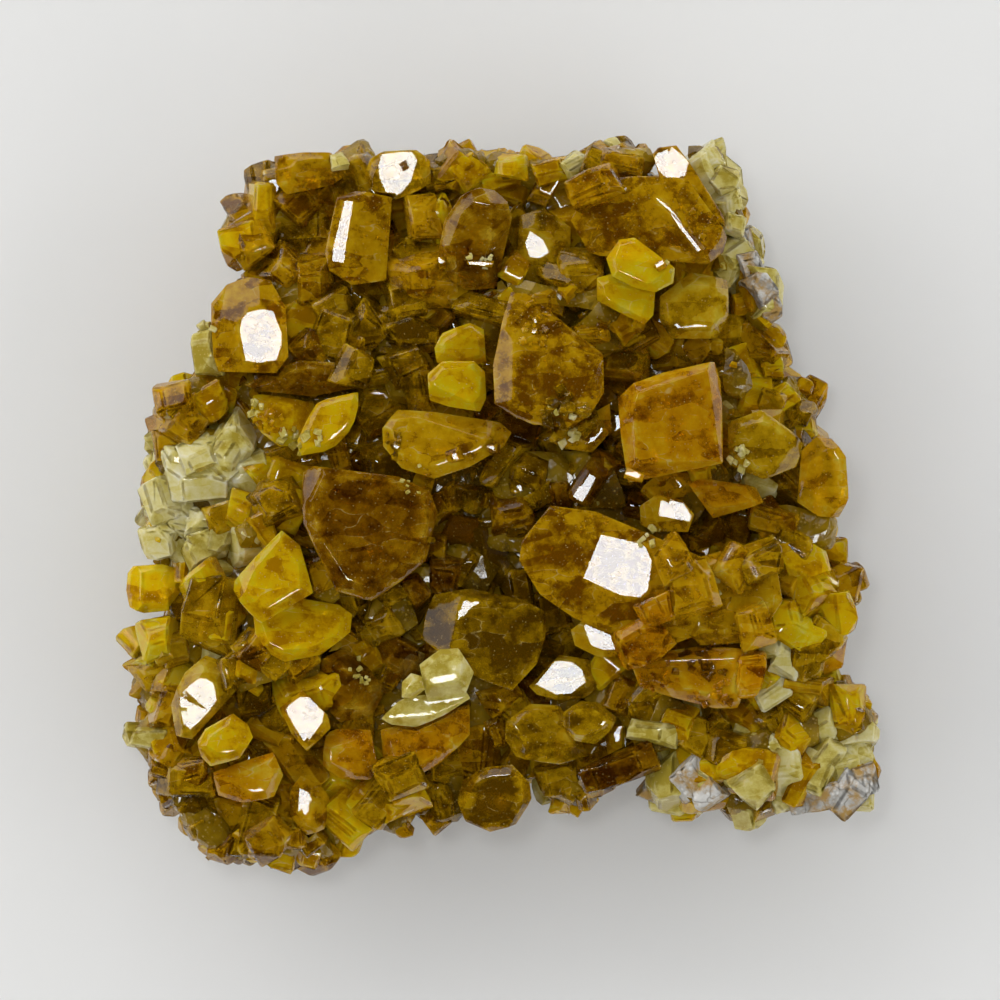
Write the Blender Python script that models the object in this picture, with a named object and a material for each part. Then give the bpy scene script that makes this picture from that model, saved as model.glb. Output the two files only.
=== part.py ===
"""A cabinet specimen of yellow to amber barite: large stubby crystals on a crust of small ones, on grey-white host rock."""

import math
import random
from collections import namedtuple
from itertools import combinations

import bmesh
import bpy
import numpy as np

# Sizes in millimetres
MM = 0.001
PLAN_UNIT = 0.1
PLAN_CENTRE = (499.5, 501.0)
GAP = 0.32
ROCK_TOP = 6.8
ROCK_INSET = 3.2
BED_INSET = 2.6
BED_TOP = 13.4
CRYSTAL_FOOT = 9.2
LOW_TOP = 13.0
RELIEF = 0.76
SEED = 4137

# Small crystals: how many round each tier of the rim, how far down and in, and the sizes
RIM_TIERS = ((50, 0.0, 2.0, (1.8, 2.6)), (24, 3.0, 2.6, (1.7, 2.3)))
FIELD_STEP = 5.6
FIELD_SIZES = (2.1, 3.0)

# Colours, as linear light
ROCK_COLOUR = (0.55, 0.54, 0.5)
CRUST_COLOUR = (0.42, 0.3, 0.03)
TINTS = {
    "amber": (0.33, 0.17, 0.01),
    "orange": (0.4, 0.15, 0.01),
    "dark": (0.12, 0.05, 0.005),
    "olive": (0.2, 0.13, 0.015),
    "yellow": (0.55, 0.4, 0.02),
    "pale": (0.6, 0.56, 0.3),
}
TINT_OF = {
    "rough_orange_crystal": "orange", "right_orange_block": "orange", "amber_tip_crystal": "orange",
    "orange_rounded_crystal": "orange", "right_amber_crystal": "orange", "amber_tabular_crystal": "orange",
    "lower_amber_block": "orange", "big_dark_crystal": "dark", "dark_arc_crystal": "dark",
    "dark_dome_crystal": "dark", "centre_block": "dark", "brown_crystal": "dark",
    "olive_brown_block": "olive", "olive_block": "olive", "grey_faced_olive_crystal": "olive",
    "teardrop_face_crystal": "olive", "ring_faced_crystal": "olive", "hexagonal_crystal": "olive",
    "white_pitted_face_crystal": "olive", "crescent_crystal": "olive", "grey_irregular_face_crystal": "olive",
    "bright_yellow_pair": "yellow", "glassy_yellow_crystal": "yellow", "yellow_pointed_cluster": "yellow",
    "yellow_rim_crystal": "yellow", "left_projecting_crystal": "yellow", "leaf_crystal": "yellow",
    "pale_green_crystal": "pale",
}

# Lean of the faces that catch the light, as rise per unit across and down the plan
GLINT = (0.05, 0.05)

# Outline of the whole specimen in plan, tenths of a millimetre across and down
SILHOUETTE = [
    (275, 155), (330, 152), (362, 160), (383, 153), (418, 151), (440, 155), (470, 151), (510, 156),
    (540, 161), (575, 163), (600, 156), (650, 150), (690, 146), (717, 149), (724, 172), (735, 193),
    (742, 213), (738, 233), (750, 256), (766, 280), (772, 302), (771, 322), (778, 342), (784, 362),
    (792, 382), (800, 398), (815, 412), (820, 430), (838, 442), (846, 462), (847, 500), (840, 530),
    (846, 560), (854, 577), (850, 605), (851, 640), (856, 665), (868, 690), (874, 715), (872, 745),
    (875, 775), (867, 800), (853, 813), (800, 806), (760, 815), (738, 811), (708, 807), (660, 796),
    (600, 794), (572, 803), (540, 796), (515, 820), (490, 830), (466, 818), (452, 804), (425, 810),
    (388, 815), (380, 828), (360, 828), (340, 838), (300, 855), (262, 853), (226, 855), (208, 838),
    (190, 824), (173, 803), (156, 775), (147, 752), (150, 735), (139, 722), (140, 698), (146, 670),
    (138, 648), (146, 616), (150, 605), (150, 565), (151, 540), (145, 510), (149, 480), (156, 458),
    (154, 440), (162, 413), (168, 396), (182, 382), (210, 376), (198, 352), (194, 340), (202, 324),
    (211, 303), (218, 288), (229, 274), (225, 250), (224, 235), (241, 214), (252, 198), (270, 181),
]

# Dips in the crust between the large crystals: across, down, radius and depth
DIPS = [
    (478, 540, 46, 3.4), (378, 425, 24, 2.2), (390, 262, 14, 2.0), (560, 650, 24, 2.4),
    (640, 492, 34, 1.8), (700, 738, 34, 2.2), (425, 765, 28, 2.4), (622, 352, 22, 1.6),
    (736, 540, 26, 1.8), (540, 235, 26, 1.2), (300, 440, 20, 1.4),
]

Crystal = namedtuple("Crystal", "outline top lean face steep foot", defaults=((0.0, 0.0), None, 1.0, CRYSTAL_FOOT))

# The large crystals of each group: outline in plan, height of the top face, its lean, and the top face's own outline
GROUPS = {
    "hero_prism": [
        Crystal([(519, 560), (522, 539), (550, 505), (596, 511), (656, 541), (700, 556), (716, 585), (704, 634),
                 (655, 652), (573, 617), (540, 594)], 24.6, GLINT,
                [(528, 558), (552, 531), (600, 531), (652, 547), (676, 560), (668, 596), (642, 602), (583, 581),
                 (545, 578)], 0.62, 9.6),
        Crystal([(688, 560), (738, 546), (774, 551), (782, 600), (757, 641), (700, 644), (684, 628)], 21.8,
                (-0.1, 0.05), [(700, 568), (738, 556), (768, 560), (770, 598), (752, 628), (700, 632)], 0.8),
        Crystal([(571, 630), (588, 617), (623, 645), (620, 656), (598, 656), (575, 645)], 18.6, GLINT,
                [(588, 622), (617, 640), (616, 648), (600, 650), (588, 640)], 0.7),
    ],
    "rough_orange_crystal": [
        Crystal([(628, 656), (660, 660), (706, 645), (722, 652), (755, 650), (745, 683), (737, 708), (714, 708),
                 (668, 696), (640, 688)], 21.6, (0.1, -0.12),
                [(640, 664), (716, 656), (744, 658), (732, 690), (712, 694), (662, 684)], 1.0),
    ],
    "banded_twin": [
        Crystal([(640, 506), (657, 494), (681, 500), (693, 514), (687, 531), (652, 530), (641, 524)], 20.6, GLINT,
                [(648, 508), (658, 497), (680, 502), (690, 514), (684, 527), (652, 527)], 1.2),
    ],
    "right_orange_block": [
        Crystal([(617, 398), (632, 384), (662, 373), (715, 361), (722, 380), (723, 463), (628, 483), (621, 440)],
                26.6, (-0.15, -0.12), [(626, 402), (640, 390), (712, 371), (714, 454), (634, 472)], 1.1),
    ],
    "olive_brown_block": [
        Crystal([(728, 422), (760, 410), (791, 432), (803, 443), (797, 467), (764, 479), (728, 464)], 22.6,
                (0.06, -0.26), [(733, 430), (762, 420), (794, 442), (788, 462), (764, 470), (734, 458)], 0.9),
    ],
    "amber_tip_crystal": [
        Crystal([(689, 484), (701, 478), (757, 486), (765, 502), (713, 517), (700, 498)], 20.0, (-0.05, 0.3),
                [(696, 486), (754, 488), (756, 498), (714, 510)], 0.8),
    ],
    "right_edge_crystal": [
        Crystal([(802, 450), (817, 436), (832, 438), (845, 456), (848, 498), (840, 517), (819, 516), (798, 502)],
                18.2, (0.26, -0.05), [(808, 456), (830, 444), (840, 460), (842, 496), (820, 508)], 0.7, 8.2),
    ],
    "centre_block": [
        Crystal([(493, 366), (502, 322), (511, 289), (528, 291), (603, 352), (604, 392), (590, 414), (571, 427),
                 (533, 424), (514, 416), (495, 404)], 26.2, (-0.08, 0.14),
                [(503, 346), (520, 342), (594, 366), (594, 392), (570, 414), (520, 408), (504, 398)], 0.55),
        Crystal([(548, 440), (560, 432), (593, 420), (609, 404), (611, 430), (592, 452), (566, 448)], 21.4,
                (0.12, 0.1), [(556, 438), (594, 426), (604, 418), (604, 430), (588, 446), (566, 442)], 0.9),
    ],
    "bright_yellow_pair": [
        Crystal([(443, 333), (470, 322), (484, 328), (486, 360), (470, 368), (437, 362), (435, 348)], 21.6,
                (-0.2, -0.06), [(447, 338), (470, 330), (478, 336), (478, 354), (444, 354)], 0.9),
        Crystal([(428, 374), (443, 361), (474, 361), (485, 372), (486, 398), (480, 411), (448, 406), (430, 400)],
                23.4, (-0.08, 0.12), [(434, 378), (446, 368), (472, 368), (480, 378), (476, 402), (436, 396)], 0.9),
    ],
    "amber_wedge": [
        Crystal([(382, 428), (397, 408), (438, 412), (500, 422), (512, 432), (504, 446), (470, 466), (434, 478),
                 (402, 468), (383, 446)], 21.8, (0.1, 0.16),
                [(394, 424), (402, 416), (494, 430), (470, 454), (432, 466), (404, 458)], 0.7),
    ],
    "big_dark_crystal": [
        Crystal([(301, 472), (312, 465), (380, 474), (399, 476), (430, 490), (438, 512), (426, 560), (402, 580),
                 (372, 600), (338, 590), (334, 552), (304, 522)], 23.0, (-0.05, 0.16),
                [(310, 480), (330, 474), (420, 494), (428, 514), (414, 556), (372, 586), (342, 578), (314, 520)],
                0.9),
    ],
    "yellow_pointed_cluster": [
        Crystal([(282, 530), (300, 545), (313, 592), (290, 604), (262, 622), (250, 612), (231, 590), (232, 581)],
                22.4, (0.1, 0.16), [(280, 542), (294, 552), (302, 588), (262, 610), (244, 588)], 0.8),
        Crystal([(254, 612), (300, 598), (338, 604), (352, 614), (350, 632), (320, 655), (285, 660), (258, 645)],
                20.4, (-0.06, 0.24), [(262, 618), (300, 606), (336, 612), (342, 628), (316, 646), (284, 650)], 0.8),
    ],
    "left_projecting_crystal": [
        Crystal([(125, 573), (131, 566), (160, 564), (178, 569), (183, 590), (176, 610), (142, 613), (128, 607),
                 (124, 590)], 13.4, (-0.12, 0.2), [(133, 574), (160, 570), (172, 576), (172, 602), (140, 606)],
                0.9, 7.6),
    ],
    "brown_crystal": [
        Crystal([(321, 660), (342, 648), (354, 650), (386, 690), (373, 714), (340, 723), (322, 702)], 17.6,
                (-0.2, -0.12), [(328, 662), (348, 656), (376, 690), (364, 706), (340, 712), (328, 698)], 0.9),
    ],
    "grey_faced_olive_crystal": [
        Crystal([(421, 640), (425, 612), (434, 594), (470, 588), (522, 599), (548, 613), (545, 640), (537, 663),
                 (512, 690), (484, 680), (455, 654)], 18.8, (0.06, 0.08),
                [(462, 600), (474, 594), (520, 606), (538, 616), (530, 656), (508, 678), (484, 668), (458, 642)],
                0.55),
    ],
    "pale_green_crystal": [
        Crystal([(420, 664), (440, 649), (458, 648), (474, 672), (464, 697), (428, 702)], 20.6, (0.05, 0.12),
                [(426, 668), (442, 655), (456, 655), (466, 672), (458, 680), (430, 684)], 1.0, 13.2),
        Crystal([(402, 682), (411, 673), (421, 676), (426, 688), (414, 697), (402, 697)], 20.8, (-0.1, 0.0),
                None, 1.3, 15.0),
        Crystal([(382, 718), (398, 702), (405, 698), (464, 689), (469, 697), (444, 714), (416, 727), (392, 724)], 18.6,
                (0.03, 0.14), [(386, 717), (402, 702), (462, 692), (466, 697), (416, 723)], 1.6, 15.6),
    ],
    "amber_tabular_crystal": [
        Crystal([(380, 730), (398, 730), (420, 732), (446, 718), (470, 704), (470, 736), (440, 762), (415, 776),
                 (397, 775), (383, 762)], 18.0, (0.04, 0.24),
                [(396, 736), (446, 724), (464, 712), (464, 732), (414, 768), (396, 766)], 1.0, 9.0),
    ],
    "hexagonal_crystal": [
        Crystal([(457, 802), (462, 781), (485, 768), (512, 765), (530, 784), (532, 800), (516, 825), (490, 833),
                 (466, 822)], 16.4, (0.05, 0.12),
                [(468, 802), (472, 786), (488, 777), (510, 776), (520, 788), (510, 816), (490, 822)], 0.8, 7.6),
    ],
    "ring_faced_crystal": [
        Crystal([(564, 712), (580, 701), (598, 702), (617, 717), (612, 728), (596, 745), (575, 740), (563, 725)],
                19.2, (0.16, 0.12), [(570, 713), (582, 706), (598, 708), (608, 718), (594, 736), (574, 732)], 1.2),
        Crystal([(506, 722), (530, 704), (560, 706), (570, 742), (590, 756), (560, 765), (516, 757), (505, 740)],
                16.8, (-0.1, 0.1), [(514, 724), (532, 712), (556, 716), (566, 748), (522, 748)], 0.8),
    ],
    "grey_irregular_face_crystal": [
        Crystal([(530, 686), (552, 666), (560, 655), (590, 660), (600, 686), (585, 698), (556, 699), (538, 694)],
                16.2, GLINT, [(533, 686), (553, 674), (560, 659), (579, 662), (586, 682), (556, 696)], 0.9),
    ],
    "crescent_crystal": [
        Crystal([(170, 705), (185, 672), (205, 655), (230, 664), (236, 690), (222, 705), (204, 716), (192, 738),
                 (176, 735)], 19.0, GLINT,
                [(178, 700), (191, 684), (211, 676), (216, 690), (219, 700), (196, 712), (190, 731)], 0.8, 8.8),
    ],
    "yellow_rim_crystal": [
        Crystal([(233, 713), (248, 724), (253, 737), (240, 757), (210, 766), (201, 756), (198, 741), (206, 728)],
                22.4, (0.05, 0.2), [(230, 724), (240, 730), (243, 740), (234, 750), (212, 756), (206, 744)], 0.9),
    ],
    "orange_rounded_crystal": [
        Crystal([(213, 772), (246, 760), (273, 752), (283, 775), (274, 796), (241, 802), (217, 796)], 20.6,
                (0.04, 0.16), [(222, 776), (246, 768), (270, 762), (275, 778), (268, 790), (228, 792)], 0.8),
    ],
    "white_irregular_crystal": [
        Crystal([(280, 708), (302, 690), (328, 716), (330, 728), (307, 750), (292, 734)], 20.0, GLINT,
                [(285, 708), (302, 694), (325, 718), (322, 729), (307, 746), (295, 730)], 1.3),
    ],
    "strip_crystal": [
        Crystal([(290, 790), (300, 776), (318, 782), (330, 800), (324, 830), (306, 836), (290, 818)], 17.0, GLINT,
                [(297, 788), (307, 795), (313, 801), (307, 822), (296, 808)], 0.8, 7.8),
    ],
    "lower_amber_block": [
        Crystal([(326, 733), (336, 729), (370, 730), (378, 769), (370, 779), (340, 779), (322, 766)], 18.2,
                (-0.14, 0.12), [(333, 736), (366, 735), (371, 768), (342, 772), (329, 762)], 1.0),
    ],
    "left_white_face_crystal": [
        Crystal([(209, 302), (226, 283), (248, 276), (270, 279), (285, 306), (288, 356), (276, 372), (218, 371),
                 (213, 355), (211, 328)], 20.8, GLINT,
                [(240, 321), (252, 309), (274, 309), (281, 322), (277, 361), (256, 364), (242, 361)], 0.5, 8.0),
        Crystal([(191, 355), (195, 338), (203, 320), (222, 322), (224, 366), (200, 367)], 12.6, (-0.1, 0.1),
                None, 0.9, 6.6),
    ],
    "dark_arc_crystal": [
        Crystal([(244, 384), (262, 378), (300, 361), (350, 364), (362, 372), (360, 386), (312, 396), (298, 384),
                 (258, 390)], 19.6, (-0.06, -0.24), [(262, 382), (304, 368), (350, 370), (352, 382), (310, 390)],
                0.9),
    ],
    "leaf_crystal": [
        Crystal([(326, 399), (358, 392), (358, 406), (354, 421), (348, 432), (336, 445), (324, 451), (300, 455),
                 (298, 440), (307, 420), (317, 403)], 21.4, (0.14, 0.14),
                [(328, 404), (352, 398), (350, 418), (334, 438), (306, 448), (312, 422)], 0.8, 12.0),
        Crystal([(252, 394), (263, 393), (314, 402), (316, 424), (306, 444), (280, 446), (262, 432), (250, 416)],
                19.2, (-0.14, 0.1), [(258, 400), (292, 406), (292, 432), (278, 436), (258, 414)], 1.0),
    ],
    "upper_left_prism": [
        Crystal([(326, 254), (338, 197), (356, 191), (392, 196), (386, 280), (352, 284), (330, 270)], 20.4, GLINT,
                [(343, 200), (353, 200), (345, 268), (329, 258)], 0.42),
    ],
    "dark_dome_crystal": [
        Crystal([(438, 256), (444, 222), (462, 196), (479, 188), (495, 190), (507, 202), (512, 217), (502, 256),
                 (497, 288), (466, 290), (448, 278)], 21.4, (0.05, -0.14),
                [(450, 248), (454, 224), (468, 204), (490, 204), (498, 216), (488, 258), (452, 258)], 0.8),
    ],
    "teardrop_face_crystal": [
        Crystal([(520, 215), (545, 206), (571, 226), (570, 262), (548, 284), (522, 278), (518, 250)], 17.6, GLINT,
                [(525, 231), (537, 232), (550, 252), (547, 258), (533, 258)], 0.5),
    ],
    "upper_right_block": [
        Crystal([(570, 220), (580, 200), (602, 178), (652, 177), (686, 180), (727, 236), (724, 252), (708, 264),
                 (684, 262), (636, 228), (618, 232), (600, 256), (588, 252)], 24.2, (0.04, 0.08),
                [(650, 192), (658, 193), (704, 254), (699, 256)], 0.30),
    ],
    "glassy_yellow_crystal": [
        Crystal([(606, 258), (619, 240), (634, 238), (674, 268), (673, 283), (655, 292), (636, 288), (612, 276)],
                24.8, (-0.05, 0.2), [(612, 258), (622, 245), (634, 244), (664, 268), (650, 284), (618, 270)], 0.9),
        Crystal([(597, 278), (612, 274), (655, 290), (653, 315), (644, 324), (616, 310), (597, 300)], 22.4,
                (-0.14, 0.2), [(604, 284), (614, 282), (646, 296), (644, 314), (618, 304), (604, 298)], 0.9),
    ],
    "olive_block": [
        Crystal([(660, 296), (680, 284), (690, 272), (728, 279), (728, 315), (718, 338), (671, 338), (660, 320)],
                21.8, (0.05, 0.1), [(668, 302), (694, 282), (718, 286), (718, 312), (710, 328), (674, 328)], 0.9),
    ],
    "corner_white_face_crystal": [
        Crystal([(653, 154), (658, 148), (676, 146), (692, 168), (724, 214), (728, 228), (694, 178), (660, 176)],
                19.6, GLINT, [(655, 154), (661, 149), (675, 148), (688, 172), (680, 175), (661, 173)], 0.9, 8.4),
    ],
    "white_pitted_face_crystal": [
        Crystal([(364, 176), (370, 158), (384, 151), (416, 150), (430, 160), (431, 182), (408, 194), (388, 200),
                 (376, 194)], 18.4, GLINT,
                [(378, 165), (382, 153), (412, 151), (418, 158), (416, 176), (404, 190), (388, 197), (379, 190)],
                0.8, 8.2),
    ],
    "right_amber_crystal": [
        Crystal([(812, 612), (848, 608), (850, 640), (844, 668), (826, 676), (812, 656)], 16.0, (0.2, 0.06),
                [(818, 618), (842, 616), (842, 652), (824, 664)], 0.9, 7.6),
    ],
    "corner_block": [
        Crystal([(273, 154), (300, 152), (330, 152), (345, 160), (346, 174), (330, 184), (286, 193), (276, 182)],
                17.2, (-0.05, -0.2), [(294, 160), (328, 158), (338, 168), (326, 178), (294, 184)], 0.7, 7.6),
    ],
}

# Middle-sized crystals that are one with the crust
CRUST_CRYSTALS = [
    # Top edge crystals
    Crystal([(434, 160), (455, 149), (482, 153), (488, 172), (470, 186), (444, 186)], 14.8, (-0.05, -0.2),
            [(440, 162), (456, 154), (478, 158), (480, 172), (450, 178)], 0.9, 7.0),
    Crystal([(478, 158), (500, 152), (518, 154), (522, 166), (508, 184), (482, 184)], 14.2, (0.12, -0.16),
            None, 0.9, 7.0),
    Crystal([(520, 166), (534, 158), (560, 161), (584, 164), (580, 180), (552, 190), (518, 184)], 13.8,
            (0.05, -0.25), [(526, 168), (540, 163), (576, 168), (570, 178), (530, 180)], 0.9, 7.0),
    # Pale corner crystals
    Crystal([(690, 147), (717, 148), (723, 172), (734, 190), (728, 204), (712, 190), (694, 166)], 14.2,
            (0.16, -0.2), [(696, 152), (713, 154), (718, 174), (724, 190), (712, 180)], 0.9, 6.4),
    Crystal([(722, 196), (736, 194), (743, 214), (738, 233), (730, 232), (722, 214)], 13.6, (0.3, 0.0),
            None, 0.9, 6.6),
    # Right rim crystals
    Crystal([(738, 262), (752, 257), (768, 284), (773, 303), (766, 330), (752, 324), (740, 292)], 13.2,
            (0.3, 0.0), [(744, 268), (752, 264), (764, 290), (762, 318), (754, 314)], 0.9, 6.4),
    # Right pale crystals
    Crystal([(772, 618), (784, 608), (806, 610), (812, 640), (806, 664), (786, 666), (774, 646)], 16.6,
            (-0.1, -0.05), [(780, 618), (802, 616), (805, 640), (800, 656), (782, 650)], 0.9, 8.0),
    Crystal([(762, 672), (776, 658), (800, 662), (812, 690), (796, 708), (770, 706)], 15.4, (-0.14, 0.12),
            None, 0.9, 8.0),
    # Lower right crystals
    Crystal([(752, 736), (768, 716), (800, 708), (822, 722), (818, 744), (790, 756), (764, 762)], 14.8,
            (0.08, 0.12), [(762, 736), (796, 718), (812, 728), (786, 746), (766, 750)], 0.9, 7.8),
    Crystal([(816, 700), (836, 680), (860, 690), (872, 718), (866, 744), (836, 746), (818, 728)], 13.6,
            (0.2, 0.1), None, 0.9, 7.0),
    # Lower right corner crystals
    Crystal([(796, 772), (812, 752), (836, 750), (846, 776), (832, 800), (806, 804)], 13.8, (0.0, 0.2), None,
            0.9, 6.8),
    Crystal([(836, 752), (866, 748), (876, 776), (866, 800), (842, 802), (832, 776)], 12.8, (0.2, 0.2), None,
            0.9, 6.4),
    # Lower rim crystals
    Crystal([(724, 784), (742, 768), (764, 770), (770, 796), (758, 814), (732, 812)], 12.6, (0.0, 0.25), None,
            0.9, 5.8),
    Crystal([(764, 778), (792, 770), (800, 796), (790, 808), (768, 810)], 12.2, (0.1, 0.2), None, 0.9, 6.0),
    # Lower left lumps
    Crystal([(250, 806), (274, 806), (291, 824), (284, 845), (262, 851), (246, 836)], 14.6, (0.16, 0.2),
            None, 0.8, 6.4),
    Crystal([(225, 815), (247, 812), (264, 830), (262, 853), (238, 857), (226, 845)], 12.6, (0.0, 0.3),
            None, 0.8, 5.6),
    Crystal([(181, 812), (204, 806), (226, 822), (236, 850), (222, 857), (204, 840), (186, 825)], 13.6,
            (-0.2, 0.24), None, 0.8, 5.8),
    # Milky crust crystals
    Crystal([(178, 440), (205, 430), (240, 436), (258, 456), (252, 478), (215, 486), (182, 478)], 14.6,
            (-0.1, 0.1), [(186, 444), (206, 437), (236, 442), (248, 458), (242, 472), (190, 472)], 0.9, 7.6),
    Crystal([(147, 480), (160, 456), (184, 464), (200, 500), (195, 540), (165, 553), (150, 532), (143, 505)],
            12.8, (-0.2, 0.0), [(154, 484), (164, 464), (178, 470), (192, 502), (186, 534), (164, 542)], 0.9,
            6.8),
    Crystal([(190, 488), (232, 494), (238, 540), (214, 566), (188, 560), (184, 520)], 14.0, (0.16, 0.1),
            None, 0.9, 8.0),
    # Left crust crystals
    Crystal([(158, 411), (176, 383), (203, 378), (216, 392), (212, 420), (190, 430), (162, 426)], 15.0,
            (-0.16, -0.1), None, 0.9, 7.4),
    # Block beside the upper left prism
    Crystal([(411, 202), (430, 192), (446, 202), (436, 222), (434, 240), (412, 238)], 17.4, (-0.12, 0.12),
            [(416, 206), (430, 198), (438, 204), (430, 224), (416, 230)], 1.0),
    # Grey prism beside the yellow cluster
    Crystal([(318, 562), (331, 558), (337, 596), (330, 602), (318, 598)], 18.8, (0.2, 0.04),
            [(320, 566), (330, 562), (334, 592), (322, 594)], 1.2),
    # Grey prism near the left edge
    Crystal([(191, 594), (226, 589), (227, 600), (236, 636), (226, 645), (211, 644), (202, 625)], 16.4,
            (0.12, 0.2), [(194, 597), (223, 593), (230, 634), (214, 641)], 1.1),
    # Grey bevelled prism by the central dip
    Crystal([(408, 568), (430, 563), (444, 567), (443, 584), (428, 602), (408, 604)], 15.8, (0.16, 0.0),
            [(416, 572), (430, 568), (438, 572), (428, 594), (414, 596)], 1.3),
    # Dark crystal left of the big one
    Crystal([(236, 528), (246, 500), (268, 487), (296, 490), (299, 520), (284, 526), (262, 545), (243, 545)],
            17.2, (-0.22, 0.1), [(246, 528), (252, 506), (270, 494), (290, 497), (292, 514), (258, 534)], 0.9),
    # Low crystal at the right edge
    Crystal([(766, 507), (792, 508), (818, 521), (837, 522), (832, 546), (800, 550), (775, 537)], 16.2,
            (0.1, 0.16), [(774, 511), (790, 510), (826, 528), (822, 540), (790, 540)], 0.8, 8.2),
    # Crystal with an oval face
    Crystal([(728, 350), (745, 366), (749, 386), (740, 398), (729, 394), (727, 372)], 20.4, (0.16, 0.0),
            [(730, 356), (741, 368), (744, 384), (738, 392), (731, 388)], 0.8),
    # Long brown wedge at the lower edge
    Crystal([(580, 783), (620, 752), (658, 748), (646, 764), (592, 793)], 16.6, (0.1, 0.3),
            [(586, 782), (622, 757), (650, 752), (594, 787)], 1.2, 8.4),
    # Ridged crystal at the top edge
    Crystal([(587, 166), (600, 153), (620, 149), (648, 150), (652, 162), (644, 172), (604, 172)], 17.4,
            (0.0, -0.2), [(598, 163), (620, 155), (642, 156), (640, 164), (606, 166)], 0.9, 8.0),
    # Olive crystal under the amber wedge
    Crystal([(488, 468), (521, 450), (560, 456), (582, 480), (560, 503), (526, 502), (497, 494)], 16.8,
            (-0.08, -0.1), [(498, 470), (524, 458), (556, 462), (568, 480), (552, 494), (512, 492)], 0.8),
]


def across(x):
    return (x - PLAN_CENTRE[0]) * PLAN_UNIT


def along(y):
    return (PLAN_CENTRE[1] - y) * PLAN_UNIT


def plan(points):
    """Plan points as an array in millimetres, running anticlockwise."""
    flat = np.array([(across(x), along(y)) for x, y in points])
    nxt = np.roll(flat, -1, axis=0)
    turn = (flat[:, 0] * nxt[:, 1] - nxt[:, 0] * flat[:, 1]).sum()
    return flat if turn > 0 else flat[::-1]


def hull_2d(points):
    """The convex outline of plan points, anticlockwise."""
    rows = sorted(map(tuple, points))

    def half(run):
        out = []
        for p in run:
            while len(out) > 1 and cross(out[-2], out[-1], p) <= 1e-9:
                out.pop()
            out.append(p)
        return out[:-1]

    return np.array(half(rows) + half(rows[::-1]))


def cross(a, b, c):
    return (b[0] - a[0]) * (c[1] - a[1]) - (b[1] - a[1]) * (c[0] - a[0])


def fewer_sides(outline, most):
    """The outline with its least useful sides left out, so that their neighbours run on to meet."""
    outline = [np.array(p) for p in outline]
    while len(outline) > most:
        best = None
        for i in range(len(outline)):
            a, b, c, d = (outline[(i + k - 1) % len(outline)] for k in range(4))
            run = np.array([b - a, c - d]).T
            if abs(np.linalg.det(run)) < 1e-6:
                continue
            t, u = np.linalg.solve(run, d - a)
            if t < 1 or u < 1:
                continue
            corner = a + (b - a) * t
            added = abs(cross(b, corner, c)) / 2
            if best is None or added < best[0]:
                best = (added, i, corner)
        if best is None:
            break
        _, i, corner = best
        outline[i] = corner
        del outline[(i + 1) % len(outline)]
    return np.array(outline)


def inside(point, outline):
    """Whether a plan point lies in an outline."""
    x, y = point
    found = False
    for (x1, y1), (x2, y2) in zip(outline, np.roll(outline, -1, axis=0)):
        if (y1 > y) != (y2 > y) and x < x1 + (y - y1) * (x2 - x1) / (y2 - y1):
            found = not found
    return found


def distance_to(point, outline):
    """How far a plan point is from an outline's nearest edge."""
    a = outline
    b = np.roll(outline, -1, axis=0)
    run = b - a
    t = np.clip(((point - a) * run).sum(1) / (run**2).sum(1), 0, 1)
    return np.linalg.norm(a + run * t[:, None] - point, axis=1).min()


def convex_points(planes, grow=0.0):
    """The corners of the solid that lies behind all of the planes, each given as a normal and a distance."""
    normals = np.array([n for n, _ in planes], float)
    sizes = np.linalg.norm(normals, axis=1)
    normals /= sizes[:, None]
    offsets = np.array([d for _, d in planes], float) / sizes + grow
    count = len(planes)
    i, j, k = np.array(list(combinations(range(count), 3))).T
    stack = np.stack([normals[i], normals[j], normals[k]], axis=1)
    good = abs(np.linalg.det(stack)) > 1e-5
    stack = stack[good]
    right = np.stack([offsets[i], offsets[j], offsets[k]], axis=1)[good]
    corners = np.linalg.solve(stack, right[:, :, None])[:, :, 0]
    kept = (corners @ normals.T <= offsets + 1e-6).all(axis=1)
    corners = corners[kept]
    return np.unique(np.round(corners, 4), axis=0)


def large_planes(crystal, plain=False, pointed=True):
    """The faces of a large crystal: a top face, bevels down to the outline, steep sides and a flat foot."""
    outline = hull_2d(plan(crystal.outline))
    if plain:
        outline = fewer_sides(outline, 5)
    centre = outline.mean(axis=0)
    slope = np.array([crystal.lean[0], -crystal.lean[1]])
    face = plan(crystal.face) if crystal.face else centre + (outline - centre) * 0.62
    level = LOW_TOP + (crystal.top - LOW_TOP) * RELIEF
    radius = np.linalg.norm(outline - centre, axis=1).mean()
    outward = centre / max(np.linalg.norm(centre), 20.0)
    top = (-slope[0], -slope[1], 1.0)
    planes = [(top, level - slope @ centre), ((0, 0, -1), -crystal.foot)]
    for a, b in zip(outline, np.roll(outline, -1, axis=0)):
        edge = b - a
        normal = np.array([edge[1], -edge[0]]) / np.linalg.norm(edge)
        reach = normal @ a
        under = -min(0.04 + 0.2 * max(0.0, normal @ outward), 0.035 * radius)
        planes.append(((normal[0], normal[1], under), reach + under * (level - 1.5)))
        inset = reach - (face @ normal).max()
        if inset < 0.3 or plain:
            continue
        middle = (a + b) / 2 - normal * inset
        height = level + slope @ (middle - centre)
        bevel = np.array([normal[0] * crystal.steep, normal[1] * crystal.steep, 1.0])
        planes.append((bevel, bevel @ [middle[0], middle[1], height]))
        if pointed and crystal.foot < 9.0 and normal @ outward > 0.25:
            low = (a + b) / 2 - normal * 0.8
            chamfer = np.array([normal[0], normal[1], -1.0])
            planes.append((chamfer, chamfer @ [low[0], low[1], crystal.foot + 0.8]))
    return planes


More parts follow.
